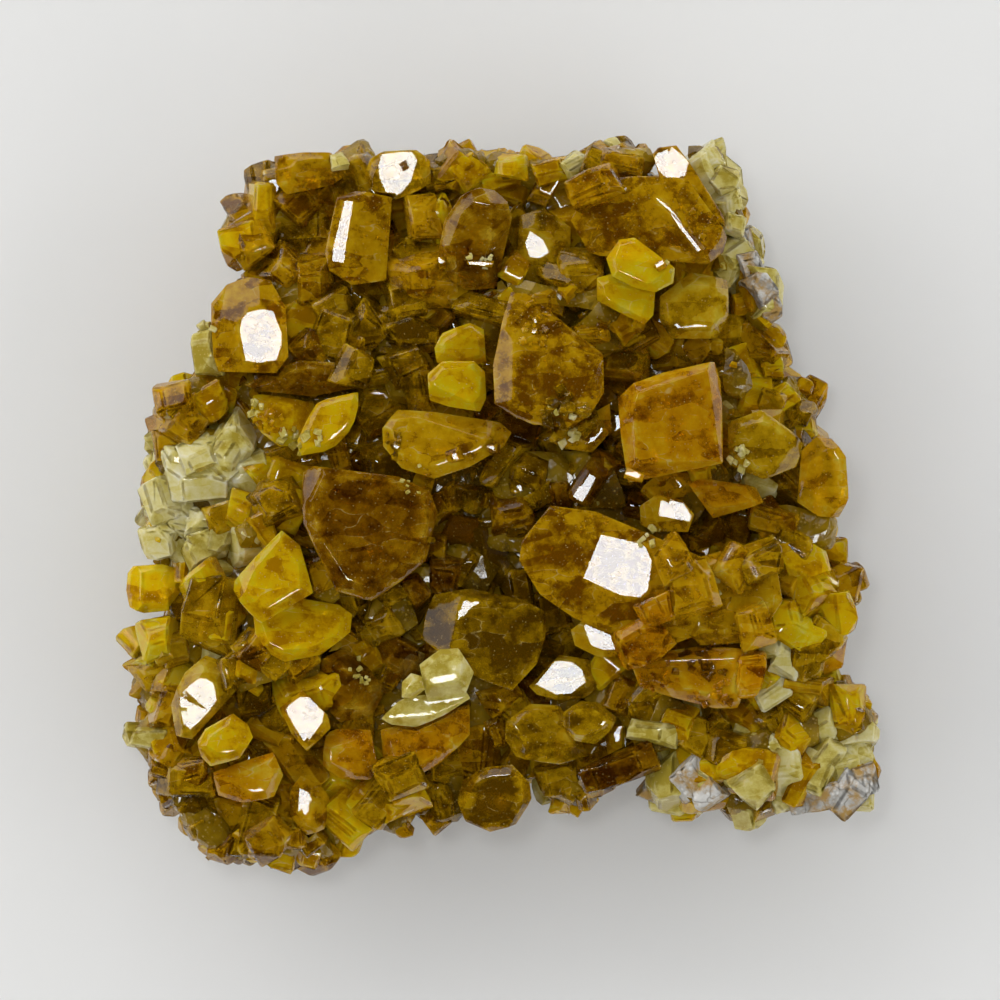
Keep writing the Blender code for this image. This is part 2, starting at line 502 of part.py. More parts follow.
def turned(tilt, heading, spin):
    """A rotation that spins a crystal on its own axis, then tips the axis over towards a heading."""
    cs, ss = math.cos(spin), math.sin(spin)
    about_z = np.array([[cs, -ss, 0], [ss, cs, 0], [0, 0, 1]])
    ct, st = math.cos(tilt), math.sin(tilt)
    over = np.array([[ct, 0, st], [0, 1, 0], [-st, 0, ct]])
    ch, sh = math.cos(heading), math.sin(heading)
    facing = np.array([[ch, -sh, 0], [sh, ch, 0], [0, 0, 1]])
    return facing @ over @ facing.T @ about_z


# Barite's common forms: the basal faces, the prism, the two domes and the side faces
FORMS = [
    ((0, 0, 1), 1.0), ((0, 0, -1), 1.0),
    ((0.775, 0.632, 0), 1.1), ((-0.775, 0.632, 0), 1.1), ((0.775, -0.632, 0), 1.1), ((-0.775, -0.632, 0), 1.1),
    ((0.78, 0, 0.63), 1.2), ((0, 0.61, 0.79), 1.15),
]


def small_planes(middle, size, rng, tilt, heading):
    """The faces of one small crystal, with its own proportions and its own way up."""
    turn = turned(tilt, heading, rng.uniform(0, math.pi))
    stretch = np.array([rng.uniform(0.9, 1.25), rng.uniform(0.7, 1.0), rng.uniform(0.8, 1.1)])
    planes = []
    for normal, distance in FORMS:
        n = turn @ np.array(normal, float)
        reach = size * distance * rng.uniform(0.9, 1.1) * (np.abs(normal) * stretch).sum() / np.abs(normal).sum()
        planes.append((n, reach + n @ np.array(middle)))
    return planes


def link(name, mesh, shown=True):
    obj = bpy.data.objects.new(name, mesh)
    bpy.context.scene.collection.objects.link(obj)
    if not shown:
        obj.hide_render = True
        obj.display_type = "WIRE"
    return obj


def convex_object(name, points):
    """A closed convex solid on points in millimetres, with one flat face per crystal face."""
    bm = bmesh.new()
    for p in points:
        bm.verts.new(p * MM)
    made = bmesh.ops.convex_hull(bm, input=bm.verts)
    loose = {e for e in made["geom_interior"] + made["geom_unused"] if isinstance(e, bmesh.types.BMVert)}
    bmesh.ops.delete(bm, geom=[v for v in loose if v.is_valid and not v.link_faces], context="VERTS")
    bmesh.ops.dissolve_limit(bm, angle_limit=math.radians(0.6), verts=bm.verts, edges=bm.edges)
    bmesh.ops.recalc_face_normals(bm, faces=bm.faces)
    mesh = bpy.data.meshes.new(name)
    bm.to_mesh(mesh)
    bm.free()
    return link(name, mesh, shown=False)


def add_small(solids, middle, size, rng, tilt, heading):
    planes = small_planes(middle, size, rng, tilt, heading)
    solids.append(convex_object(f"small_{len(solids)}", convex_points(planes)))


def clear_of_large(x, y, margin):
    """Whether a plan point is outside every large crystal, by at least the margin."""
    point = np.array([x, y])
    return not any(inside(point, o) or distance_to(point, o) < margin for o in outlines)


def settled(obj):
    """The object's mesh with its modifiers carried out, as its largest single piece."""
    graph = bpy.context.evaluated_depsgraph_get()
    mesh = bpy.data.meshes.new_from_object(obj.evaluated_get(graph))
    obj.modifiers.clear()
    obj.data = mesh
    bm = bmesh.new()
    bm.from_mesh(mesh)
    bm.verts.ensure_lookup_table()
    left = set(bm.verts)
    pieces = []
    while left:
        piece = set()
        ahead = [left.pop()]
        while ahead:
            vert = ahead.pop()
            piece.add(vert)
            for edge in vert.link_edges:
                other = edge.other_vert(vert)
                if other in left:
                    left.discard(other)
                    ahead.append(other)
        pieces.append(piece)
    pieces.sort(key=len)
    for piece in pieces[:-1]:
        bmesh.ops.delete(bm, geom=list(piece), context="VERTS")
    bmesh.ops.dissolve_limit(bm, angle_limit=math.radians(0.4), verts=bm.verts, edges=bm.edges)
    bmesh.ops.triangulate(bm, faces=bm.faces)
    bm.to_mesh(mesh)
    bm.free()
    return obj


def combine(obj, others, operation):
    """One exact Boolean of the object with all of the others."""
    if not others:
        return obj
    group = bpy.data.collections.new(obj.name + "_" + operation.lower())
    for other in others:
        group.objects.link(other)
    step = obj.modifiers.new(operation.lower(), "BOOLEAN")
    step.operation = operation
    step.operand_type = "COLLECTION"
    step.collection = group
    step.solver = "EXACT"
    return settled(obj)


def wave(x, y, phase):
    """Slow unevenness, from about minus one to one."""
    a = math.sin(x * 0.31 + phase) * math.cos(y * 0.27 - phase * 1.7)
    b = math.sin((x + y) * 0.19 + phase * 2.3)
    return 0.6 * a + 0.4 * b


def bed_height(x, y):
    """How high the crust reaches under its small crystals."""
    rim = min(distance_to(np.array([x, y]), EDGE) / 9.0, 1.0)
    height = 9.0 + (BED_TOP - 9.0) * rim * (2 - rim) + 0.7 * wave(x, y, 1.3)
    for dx, dy, radius, depth in DIPS:
        away = ((x - across(dx)) ** 2 + (y - along(dy)) ** 2) / (radius * PLAN_UNIT) ** 2
        height -= depth * math.exp(-away)
    return max(height, ROCK_TOP + 1.4)


def shrunk(outline, inset):
    """The outline moved inwards, corner by corner."""
    before = outline - np.roll(outline, 1, axis=0)
    after = np.roll(outline, -1, axis=0) - outline
    both = before / np.linalg.norm(before, axis=1)[:, None] + after / np.linalg.norm(after, axis=1)[:, None]
    inward = np.stack([-both[:, 1], both[:, 0]], axis=1)
    inward /= np.linalg.norm(inward, axis=1)[:, None]
    return outline + inward * inset


def evenly(outline, count):
    """Points at even steps round an outline."""
    ahead = np.roll(outline, -1, axis=0)
    steps = np.linalg.norm(ahead - outline, axis=1)
    reach = np.concatenate([[0], np.cumsum(steps)])
    out = []
    for s in np.linspace(0, reach[-1], count, endpoint=False):
        k = int(np.searchsorted(reach, s, side="right") - 1)
        t = (s - reach[k]) / steps[k]
        out.append(outline[k] * (1 - t) + ahead[k] * t)
    return np.array(out)


def ringed_solid(name, rings, shown):
    """A closed solid through rings of equal point counts, from the lowest to the highest, with filled ends."""
    bm = bmesh.new()
    rows = [[bm.verts.new((x * MM, y * MM, z * MM)) for x, y, z in ring] for ring in rings]
    for low, high in zip(rows, rows[1:]):
        count = len(low)
        for i in range(count):
            j = (i + 1) % count
            bm.faces.new((low[i], low[j], high[j], high[i]))
    for row, flip in ((rows[0], True), (rows[-1], False)):
        x, y, z = (sum(v.co[k] for v in row) / len(row) for k in range(3))
        middle = bm.verts.new((x, y, row[0].co.z if flip else z))
        for i, vert in enumerate(row):
            other = row[(i + 1) % len(row)]
            bm.faces.new((other, vert, middle) if flip else (vert, other, middle))
    bmesh.ops.recalc_face_normals(bm, faces=bm.faces)
    bmesh.ops.triangulate(bm, faces=bm.faces)
    mesh = bpy.data.meshes.new(name)
    bm.to_mesh(mesh)
    bm.free()
    return link(name, mesh, shown)


def rock_rings(grow):
    """The host rock: broken, slightly undercut sides, a flat underside and a nearly level top."""
    rng = random.Random(SEED)
    rough = [[rng.uniform(-0.8, 0.8) for _ in range(44)] for _ in range(4)]
    levels = [(0.0, 1.7), (1.6, 0.4), (4.4, 0.1), (ROCK_TOP, 0.5)]
    rings = []
    for row, (z, extra) in enumerate(levels):
        outline = shrunk(evenly(EDGE, 44), ROCK_INSET + extra - grow)
        centre = outline.mean(axis=0)
        ring = []
        for point, bump in zip(outline, rough[row]):
            out = (point - centre) / np.linalg.norm(point - centre)
            x, y = point + out * bump
            lift = 0.0 if row in (0, 3) else bump * 0.6
            ring.append((x, y, z + lift + (grow if row == 3 else -grow if row == 0 else 0.0)))
        rings.append(ring)
    return rings


def bed_rings():
    """The crust under the small crystals, as nested outlines that follow its height."""
    rings = [[(x, y, ROCK_TOP - 1.2) for x, y in shrunk(evenly(EDGE, 26), BED_INSET + 0.4)]]
    outline = shrunk(evenly(EDGE, 26), BED_INSET)
    centre = outline.mean(axis=0)
    for share in (1.0, 0.78, 0.5, 0.22):
        ring = centre + (outline - centre) * share
        rings.append([(x, y, bed_height(x, y)) for x, y in ring])
    return rings


def material(obj, colour, roughness, metallic=0.0):
    made = bpy.data.materials.new(obj.name)
    made.use_nodes = True
    shader = made.node_tree.nodes["Principled BSDF"]
    shader.inputs["Base Color"].default_value = (*colour, 1)
    shader.inputs["Roughness"].default_value = roughness
    shader.inputs["Metallic"].default_value = metallic
    obj.data.materials.clear()
    obj.data.materials.append(made)


def shown(obj, colour, roughness):
    obj.hide_render = False
    obj.display_type = "TEXTURED"
    material(obj, colour, roughness)


for old in list(bpy.data.objects):
    bpy.data.objects.remove(old)

EDGE = plan(SILHOUETTE)

# Host rock
rock = ringed_solid("host_rock", rock_rings(0.0), True)
rock_cutter = ringed_solid("rock_cutter", rock_rings(GAP), False)
material(rock, ROCK_COLOUR, 0.85)

# Large crystals, each group one solid, with later groups cut to fit against earlier ones
outlines = []
cutters = []
sockets = []
for name, crystals in GROUPS.items():
    solids = []
    grown = []
    for number, crystal in enumerate(crystals):
        planes = large_planes(crystal)
        solids.append(convex_object(f"{name}_{number}", convex_points(planes)))
        socket = convex_points(large_planes(crystal, plain=True), GAP)
        grown.append(convex_object(f"{name}_{number}_grown", convex_points(planes, GAP)))
        sockets.append(convex_object(f"{name}_{number}_socket", socket))
        outlines.append(hull_2d(plan(crystal.outline)))
    body = solids[0]
    body.name = name
    if len(solids) > 1:
        body = combine(body, solids[1:], "UNION")
    low = min(crystal.foot for crystal in crystals) < ROCK_TOP + GAP
    body = combine(body, cutters + [rock_cutter] * low, "DIFFERENCE")
    cutters.extend(grown)
    shown(body, TINTS[TINT_OF.get(name, "amber")], 0.12)

# Crust of small crystals over the rock, with a socket for each large crystal
rng = random.Random(SEED)
small = []
for number, crystal in enumerate(CRUST_CRYSTALS):
    small.append(convex_object(f"middling_{number}", convex_points(large_planes(crystal, pointed=False))))
    outlines.append(hull_2d(plan(crystal.outline)))

for count, drop, inset, sizes in RIM_TIERS:
    ring = evenly(EDGE, count)
    for (x, y), (ix, iy) in zip(ring, shrunk(ring, inset)):
        size = rng.uniform(*sizes)
        heading = math.atan2(y - iy, x - ix)
        # The thin right-hand corners have room for the upper tier only
        thin = (x > across(650) and y < along(770)) or (x > across(728) and y > along(335))
        if (thin and drop > 0) or not clear_of_large(ix, iy, 0.2):
            continue
        z = bed_height(ix, iy) - 0.3 - drop + rng.uniform(-0.4, 0.6)
        add_small(small, (ix, iy, z), size, rng, rng.uniform(0.3, 1.0), heading)

for row in range(20):
    for column in range(18):
        x = (column - 8.5 + 0.5 * (row % 2)) * FIELD_STEP + rng.uniform(-1.1, 1.1)
        y = (row - 9.5) * FIELD_STEP * 0.86 + rng.uniform(-1.1, 1.1)
        point = np.array([x, y])
        size = rng.uniform(*FIELD_SIZES)
        tilt = abs(rng.gauss(0, 0.35))
        heading = rng.uniform(-math.pi, math.pi)
        if not inside(point, EDGE) or distance_to(point, EDGE) < 3.6 or not clear_of_large(x, y, 0.5):
            continue
        z = bed_height(x, y) + rng.uniform(-0.4, 0.8)
        add_small(small, (x, y, z), size, rng, tilt, heading)

crust = ringed_solid("small_crystal_crust", bed_rings(), False)
crust = combine(crust, small, "UNION")
crust = combine(crust, sockets + [rock_cutter], "DIFFERENCE")
shown(crust, CRUST_COLOUR, 0.2)

# The rest stands on its flat underside, with the middle of its box over the origin
kept = [o for o in bpy.data.objects if not o.hide_render]
for obj in [o for o in bpy.data.objects if o.hide_render]:
    bpy.data.objects.remove(obj)
corners = np.array([v.co for o in kept for v in o.data.vertices])
shift = -(corners.max(axis=0) + corners.min(axis=0)) / 2
for obj in kept:
    for vert in obj.data.vertices:
        vert.co.x += shift[0]
        vert.co.y += shift[1]
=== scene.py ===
"""The barite specimen on its frame: amber and yellow crystals on a crust of small ones over grey-white rock.

Sizes are in millimetres unless a name says otherwise. Plan points are tenths of a millimetre, x to the right
and y towards the viewer's feet, as the specimen lies seen from above.
"""

import math
import random
from itertools import combinations, cycle

import bmesh
import bpy
import numpy as np
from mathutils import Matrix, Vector, noise
from mathutils.bvhtree import BVHTree
from mathutils.kdtree import KDTree


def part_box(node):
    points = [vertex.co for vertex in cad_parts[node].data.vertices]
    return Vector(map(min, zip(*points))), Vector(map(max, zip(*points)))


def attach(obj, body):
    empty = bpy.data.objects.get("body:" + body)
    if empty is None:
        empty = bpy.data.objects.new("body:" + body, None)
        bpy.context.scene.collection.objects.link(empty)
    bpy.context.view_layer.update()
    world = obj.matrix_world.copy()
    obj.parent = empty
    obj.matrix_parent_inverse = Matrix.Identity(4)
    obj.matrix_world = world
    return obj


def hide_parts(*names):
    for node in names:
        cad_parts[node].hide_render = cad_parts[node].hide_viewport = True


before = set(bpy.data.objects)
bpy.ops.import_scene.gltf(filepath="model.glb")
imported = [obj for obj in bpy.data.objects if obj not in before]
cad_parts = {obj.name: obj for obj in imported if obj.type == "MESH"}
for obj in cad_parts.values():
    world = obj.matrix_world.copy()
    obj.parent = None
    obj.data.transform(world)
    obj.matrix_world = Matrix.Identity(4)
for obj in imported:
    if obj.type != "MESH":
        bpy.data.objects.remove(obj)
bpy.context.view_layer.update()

# Sizes and places
MM = 0.001
PLAN_UNIT = 0.1
PLAN_CENTRE = (499.99, 499.52)
SEED = 2718
REFRACTION = 1.64
SMOOTH_ANGLE = math.radians(24)
FLAT_ANGLE = math.radians(0.8)
EDGE_ANGLE = math.radians(12)
RAY_HEIGHT = 40.0
RAY_DISTANCE = 80.0
HALF_WIDTH = 38.0
HALF_DEPTH = 37.0
DOWN = (0, 0, -1)

# Dressing of the large crystals
CHIPS = 4
CHIP_DEPTH = 0.7
CHIP_DEPTH_BY_MIRROR = 0.35
SMALLEST_EDGE = 0.12
EDGE_WIDTHS = (0.07, 0.16)
FACET_LENGTH = 0.8
FACETS_ABOVE = 8.0
# Spacing of the points along sharp edges, and how far inwards the painted edge glow reaches
GLOW_MARK_STEP = 0.25
PAINTED_GLOW_REACH = 0.5

# Camera and lights
CAMERA_HEIGHT = 1200.0
FIELD = 100.0
FIELD_LEVEL = 19.0
GLINT = (0.05, 0.05)
SOFTBOX_DISTANCE = 1000.0
SOFTBOX_SIDE = 150.0
FILL_WIDE = 2200.0
FILL_TALL = 800.0
SURROUNDINGS = 0.32
FLOOR_REACH = 2500.0

rng = random.Random(SEED)


def at(x, y):
    """A plan point, in tenths of a millimetre across and down, as millimetres from the middle."""
    return (x - PLAN_CENTRE[0]) * PLAN_UNIT, (PLAN_CENTRE[1] - y) * PLAN_UNIT


# Materials

class Shader:
    """A material's nodes, made and joined with short calls."""

    def __init__(self, name):
        self.material = bpy.data.materials.new(name)
        self.material.use_nodes = True
        self.tree = self.material.node_tree
        self.main = self.tree.nodes["Principled BSDF"]
        self.place = self.add("ShaderNodeTexCoord").outputs["Object"]

    def add(self, kind, **settings):
        node = self.tree.nodes.new(kind)
        for key, value in settings.items():
            setattr(node, key, value)
        return node

    def put(self, socket, value):
        if hasattr(value, "is_linked"):
            self.tree.links.new(value, socket)
        else:
            socket.default_value = value

    def set(self, **values):
        for key, value in values.items():
            self.put(self.main.inputs[key.replace("_", " ")], value)

    def moved(self, scale, turn=(0, 0, 0), offset=(0, 0, 0)):
        node = self.add("ShaderNodeMapping")
        self.put(node.inputs["Vector"], self.place)
        self.put(node.inputs["Scale"], scale)
        self.put(node.inputs["Rotation"], turn)
        self.put(node.inputs["Location"], offset)
        return node.outputs["Vector"]

    def noise(self, size, detail=4.0, rough=0.55, offset=(0, 0, 0), warp=0.0, vector=None):
        """Cloudy unevenness with features of about that many millimetres."""
        node = self.add("ShaderNodeTexNoise")
        self.put(node.inputs["Vector"], vector or self.moved((1, 1, 1), offset=offset))
        self.put(node.inputs["Scale"], 1 / (size * MM))
        self.put(node.inputs["Detail"], detail)
        self.put(node.inputs["Roughness"], rough)
        self.put(node.inputs["Distortion"], warp)
        return node.outputs["Fac"]

    def bent(self, vector, size, reach):
        """The same place moved about by up to the reach, over distances of the size, in millimetres."""
        bend = self.add("ShaderNodeTexNoise")
        self.put(bend.inputs["Vector"], vector)
        self.put(bend.inputs["Scale"], 1 / (size * MM))
        self.put(bend.inputs["Detail"], 1.0)
        join = self.add("ShaderNodeVectorMath", operation="MULTIPLY_ADD")
        self.put(join.inputs[0], bend.outputs["Color"])
        self.put(join.inputs[1], (reach * MM,) * 3)
        self.put(join.inputs[2], vector)
        return join.outputs[0]

    def cells(self, size, offset=(0, 0, 0), feature="F1", output="Distance", vector=None):
        """Distance from the middles or the edges of cells of about that many millimetres."""
        node = self.add("ShaderNodeTexVoronoi", feature=feature)
        self.put(node.inputs["Vector"], vector or self.moved((1, 1, 1), offset=offset))
        self.put(node.inputs["Scale"], 1 / (size * MM))
        return node.outputs[output]

    def attribute(self, name):
        return self.add("ShaderNodeAttribute", attribute_name=name).outputs["Fac"]

    def ramp(self, factor, *stops):
        node = self.add("ShaderNodeValToRGB")
        self.put(node.inputs["Fac"], factor)
        stripe = node.color_ramp
        while len(stripe.elements) < len(stops):
            stripe.elements.new(0.5)
        for element, (place, colour) in zip(stripe.elements, stops):
            element.position = place
            element.color = (*colour, 1) if isinstance(colour, tuple) else (colour, colour, colour, 1)
        return node.outputs["Color"]

    def fade(self, factor, low, high, start=0.0, end=1.0):
        node = self.add("ShaderNodeMapRange")
        self.put(node.inputs["Value"], factor)
        self.put(node.inputs["From Min"], low)
        self.put(node.inputs["From Max"], high)
        self.put(node.inputs["To Min"], start)
        self.put(node.inputs["To Max"], end)
        return node.outputs["Result"]

    def mix(self, factor, a, b, blend="MIX"):
        node = self.add("ShaderNodeMix", data_type="RGBA", blend_type=blend)
        self.put(node.inputs["Factor"], factor)
        for name, value in (("A", a), ("B", b)):
            socket = [s for s in node.inputs if s.name == name and s.type == "RGBA"][0]
            self.put(socket, (*value, 1) if isinstance(value, tuple) else value)
        return [s for s in node.outputs if s.type == "RGBA"][0]

    def bump(self, height, strength, distance, under=None):
        node = self.add("ShaderNodeBump")
        self.put(node.inputs["Height"], height)
        self.put(node.inputs["Strength"], strength)
        self.put(node.inputs["Distance"], distance * MM)
        if under is not None:
            self.put(node.inputs["Normal"], under)
        return node.outputs["Normal"]

    def math(self, operation, a, b=0.0):
        node = self.add("ShaderNodeMath", operation=operation)
        self.put(node.inputs[0], a)
        self.put(node.inputs[1], b)
        return node.outputs[0]

    def absorb(self, colour, density):
        node = self.add("ShaderNodeVolumeAbsorption")
        node.inputs["Color"].default_value = (*colour, 1)
        node.inputs["Density"].default_value = density
        self.tree.links.new(node.outputs[0], self.tree.nodes["Material Output"].inputs["Volume"])


def crystal_material(name, colours, absorb, density, transmission, seed):
    """Barite: darker at heart and brighter towards its edges, the brightness a painted glow of light coming
    through the edges, with veils, fractures lined with painted glints, and painted sparkles inside.

    The mesh gives two numbers: the painted edge glow, one at the crystal's edges and nought inside, and tone,
    its own shade, with painted shade added in the middle recess.
    """
    s = Shader(name)
    shift = (seed * 0.013, seed * 0.007, seed * 0.011)
    other = (shift[1], shift[2], shift[0])
    cloud = s.noise(2.2, 5.0, 0.68, shift)
    grain = s.bent(s.moved((0.8, 1.9, 0.6), (0.3, 0.2, 0.6 + seed), other), 2.5, 2.2)
    shards = s.cells(2.6, output="Color", vector=grain)
    cracks = s.cells(2.6, feature="DISTANCE_TO_EDGE", vector=grain)
    # Painted sparkles: small bright dots that stand for tiny glints
    painted_sparkles = s.fade(s.cells(0.42, other), 0.08, 0.2, 1.0, 0.0)
    # Painted glow of light coming through the edges, broken up by the cloud
    edge = s.math("MULTIPLY", s.attribute("painted_edge_glow"), s.fade(cloud, 0.35, 0.62, 0.15, 1.0))
    level = s.math("ADD", s.fade(cloud, 0.3, 0.7, -0.3, 0.3), s.fade(edge, 0.0, 1.0, 0.2, 0.62))
    level = s.math("ADD", level, s.fade(shards, 0.2, 0.8, -0.15, 0.15))
    level = s.math("ADD", level, s.fade(s.attribute("tone"), -1.0, 2.0, -0.48, 0.48))
    colour = s.ramp(level, *zip((0.04, 0.34, 0.66, 0.98), colours))
    # Painted glints along the cracks and the sparkles, mixed towards a pale gold
    painted_crack_glints = s.math("MULTIPLY", s.fade(cracks, 0.0, 0.025, 1.0, 0.0), s.fade(cloud, 0.54, 0.62))
    painted_glints = s.math("MAXIMUM", painted_crack_glints, s.math("MULTIPLY", painted_sparkles, s.fade(cloud, 0.56, 0.46)))
    colour = s.mix(s.math("MULTIPLY", painted_glints, 0.6), colour, (1.0, 0.78, 0.3))
    s.set(Base_Color=colour, Roughness=s.fade(cloud, 0.58, 0.75, 0.02, 0.12), IOR=REFRACTION,
          Transmission_Weight=transmission)
    s.absorb(absorb, density)
    return s.material


# Each family of crystals: heart, body, bright and edge colours, the last two mostly where the glow of light
# through the edges is painted, then what light passes through it
TINTS = {
    "amber": dict(colours=((0.24, 0.09, 0.001), (0.72, 0.38, 0.003), (0.95, 0.56, 0.008), (1.0, 0.76, 0.06)),
                  absorb=(0.93, 0.78, 0.0), density=110, transmission=0.62),
    "orange": dict(colours=((0.24, 0.07, 0.001), (0.74, 0.32, 0.002), (0.95, 0.5, 0.006), (1.0, 0.7, 0.04)),
                   absorb=(0.95, 0.72, 0.0), density=110, transmission=0.62),
    "dark": dict(colours=((0.08, 0.022, 0.001), (0.3, 0.12, 0.001), (0.58, 0.29, 0.004), (0.9, 0.56, 0.03)),
                 absorb=(0.88, 0.66, 0.0), density=130, transmission=0.66),
    "olive": dict(colours=((0.17, 0.08, 0.001), (0.52, 0.285, 0.002), (0.86, 0.52, 0.008), (1.0, 0.74, 0.05)),
                  absorb=(0.88, 0.76, 0.0), density=110, transmission=0.62),
    "yellow": dict(colours=((0.6, 0.28, 0.002), (1.0, 0.6, 0.004), (1.0, 0.74, 0.008), (1.0, 0.86, 0.07)),
                   absorb=(0.98, 0.9, 0.0), density=70, transmission=0.58),
    "pale": dict(colours=((0.55, 0.42, 0.05), (0.84, 0.72, 0.2), (0.97, 0.89, 0.46), (1.0, 0.97, 0.74)),
                 absorb=(0.97, 0.95, 0.55), density=40, transmission=0.42),
}

TINT_OF = {
    "rough_orange_crystal": "orange", "right_orange_block": "orange", "amber_tip_crystal": "orange",
    "orange_rounded_crystal": "orange", "right_amber_crystal": "orange", "amber_tabular_crystal": "orange",
    "lower_amber_block": "orange", "big_dark_crystal": "dark", "dark_arc_crystal": "dark",
    "dark_dome_crystal": "dark", "centre_block": "amber", "brown_crystal": "dark",
    "olive_brown_block": "olive", "olive_block": "olive", "grey_faced_olive_crystal": "olive",
    "teardrop_face_crystal": "olive", "ring_faced_crystal": "olive", "hexagonal_crystal": "olive",
    "white_pitted_face_crystal": "olive", "crescent_crystal": "olive", "grey_irregular_face_crystal": "olive",
    "bright_yellow_pair": "yellow", "glassy_yellow_crystal": "yellow", "yellow_pointed_cluster": "yellow",
    "yellow_rim_crystal": "yellow", "left_projecting_crystal": "yellow", "leaf_crystal": "yellow",
    "pale_green_crystal": "pale",
}
SLOTS = {tint: tint + "_crystal" for tint in TINTS}

MATERIALS = {}
for number, (tint, look) in enumerate(TINTS.items()):
    MATERIALS[tint] = crystal_material(tint + "_barite", seed=number, **look)


def crust_material():
    """The crust between the crystals: dark olive and brown, lighter and milky in places; its own colour
    darkened further as painted shade in the gaps between the crystals.
    """
    s = Shader("crust_barite")
    zones = s.noise(7.0, 4.0, 0.6, (0.02, 0.01, 0.0))
    # The dark end is partly the crust's own olive and partly painted shade, so the gaps between the crystals
    # read black
    base = s.ramp(zones, (0.36, (0.14, 0.075, 0.001)), (0.52, (0.4, 0.24, 0.003)), (0.7, (0.7, 0.48, 0.03)))
    grains = s.fade(s.cells(0.5), 0.1, 0.3, 0.6, 0.0)
    base = s.mix(grains, base, (0.75, 0.55, 0.15))
    s.set(Base_Color=base, Roughness=0.15, IOR=REFRACTION, Transmission_Weight=0.5)
    s.absorb((0.9, 0.78, 0.0), 120)
    return s.material


def rock_material():
    """Grey-white broken matrix: pale grains in darker grey, with brown stains towards the crystals."""
    s = Shader("grey_rock")
    large = s.noise(4.0, 6.0, 0.65, warp=0.6)
    grains = s.cells(0.6)
    seams = s.cells(2.4, feature="DISTANCE_TO_EDGE", vector=s.bent(s.moved((1, 1, 1.4)), 1.5, 1.5))
    fine = s.noise(0.3, 5.0, 0.7)
    base = s.ramp(large, (0.3, (0.2, 0.18, 0.15)), (0.5, (0.42, 0.41, 0.38)), (0.68, (0.62, 0.61, 0.58)))
    base = s.mix(s.fade(grains, 0.1, 0.4, 0.6, 0.0), base, (0.8, 0.79, 0.76))
    base = s.mix(s.fade(seams, 0.0, 0.06, 0.7, 0.0), base, (0.12, 0.1, 0.07))
    height = s.add("ShaderNodeSeparateXYZ")
    s.put(height.inputs[0], s.place)
    patches = s.fade(s.noise(2.6, 5.0, 0.7), 0.46, 0.6)
    stain = s.math("MULTIPLY", s.fade(height.outputs["Z"], 1.5 * MM, 7.5 * MM), patches)
    base = s.mix(stain, base, (0.36, 0.22, 0.06))
    relief = s.bump(grains, 0.6, 0.15)
    relief = s.bump(fine, 0.5, 0.06, relief)
    s.set(Base_Color=base, Roughness=s.fade(grains, 0.1, 0.4, 0.35, 0.9), Normal=relief)
    return s.material


# Shapes

def new_piece(name, mesh, material, slot, *nodes):
    obj = bpy.data.objects.new(name, mesh)
    bpy.context.scene.collection.objects.link(obj)
    mesh.materials.clear()
    mesh.materials.append(material)
    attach(obj, "root")
    if nodes:
        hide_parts(*nodes)
    return obj


def whole_faces(name):
    """A copy of a CAD crystal with its flat faces whole again."""
    bm = bmesh.new()
    bm.from_mesh(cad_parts[name].data)
    bmesh.ops.remove_doubles(bm, verts=bm.verts, dist=1e-6)
    bmesh.ops.dissolve_limit(bm, angle_limit=FLAT_ANGLE, verts=bm.verts, edges=bm.edges)
    return bm


def shave(bm, first, second, slope):
    """Cuts a gently sloping face, down from the line between two points, on that line's right-hand side."""
    along = second - first
    right = np.array([along[1], -along[0], 0.0])
    right /= np.linalg.norm(right)
    normal = np.cross(along, right - np.array([0.0, 0.0, slope]))
    normal *= -1 if normal[2] < 0 else 1
    sliced(bm, first, normal)


def sliced(bm, point, normal):
    """Takes away what lies beyond the plane, and closes the cut."""
    geometry = list(bm.verts) + list(bm.edges) + list(bm.faces)
    cut = bmesh.ops.bisect_plane(
        bm, geom=geometry, plane_co=np.array(point) * MM, plane_no=normal, clear_outer=True, dist=1e-6)
    edges = [e for e in cut["geom_cut"] if isinstance(e, bmesh.types.BMEdge)]
    if edges:
        bmesh.ops.contextual_create(bm, geom=edges)


def mirrored(bm, name, outline, slopes):
    """Leaves the mirror face that outline, with gentle faces falling away from each of its sides."""
    corners = [np.array(at(*corner)) for corner in outline]
    middle = np.mean(corners, axis=0)
    height = hit((*middle, RAY_HEIGHT), DOWN, name)[0][2] - MIRROR_DEPTH
    ends = [np.array([*c, height - (c - middle) @ MIRROR[:2] / MIRROR[2]]) for c in corners]
    sliced(bm, ends[0], MIRROR)
    for first, second, slope in zip(ends, ends[1:] + ends[:1], cycle(slopes)):
        shave(bm, second, first, slope)


def chipped(bm, count, depth):
    """Breaks small flats on the upper corners."""
    for _ in range(count):
        turn = rng.uniform(0, 2 * math.pi)
        rise = rng.uniform(0.45, 1.1)
        direction = np.array([math.cos(turn), math.sin(turn), rise])
        direction /= np.linalg.norm(direction)
        reach = max(direction @ np.array(v.co) for v in bm.verts) / MM
        sliced(bm, direction * (reach - rng.uniform(0.4, 1.0) * depth), direction)


def rough_spots_near(bm):
    """The rough spots that reach a crystal, as middle, radius and factor in millimetres."""
    middle = sum((v.co for v in bm.verts), Vector()) / len(bm.verts) / MM
    reach = max((v.co / MM - middle).length for v in bm.verts)
    near = []
    for px, py, radius, factor in ROUGH_SPOTS:
        x, y = at(px, py)
        if math.hypot(x - middle.x, y - middle.y) < reach + radius * PLAN_UNIT:
            near.append((x, y, radius * PLAN_UNIT, factor))
    return near


def roughness_at(x, y, spots):
    """How many times rougher than usual the surface is at a point, in millimetres."""
    extra = 0.0
    for cx, cy, radius, factor in spots:
        away = math.hypot(x - cx, y - cy) / radius
        if away < 1:
            extra = max(extra, (factor - 1) * (1 - away * away))
    return 1 + extra


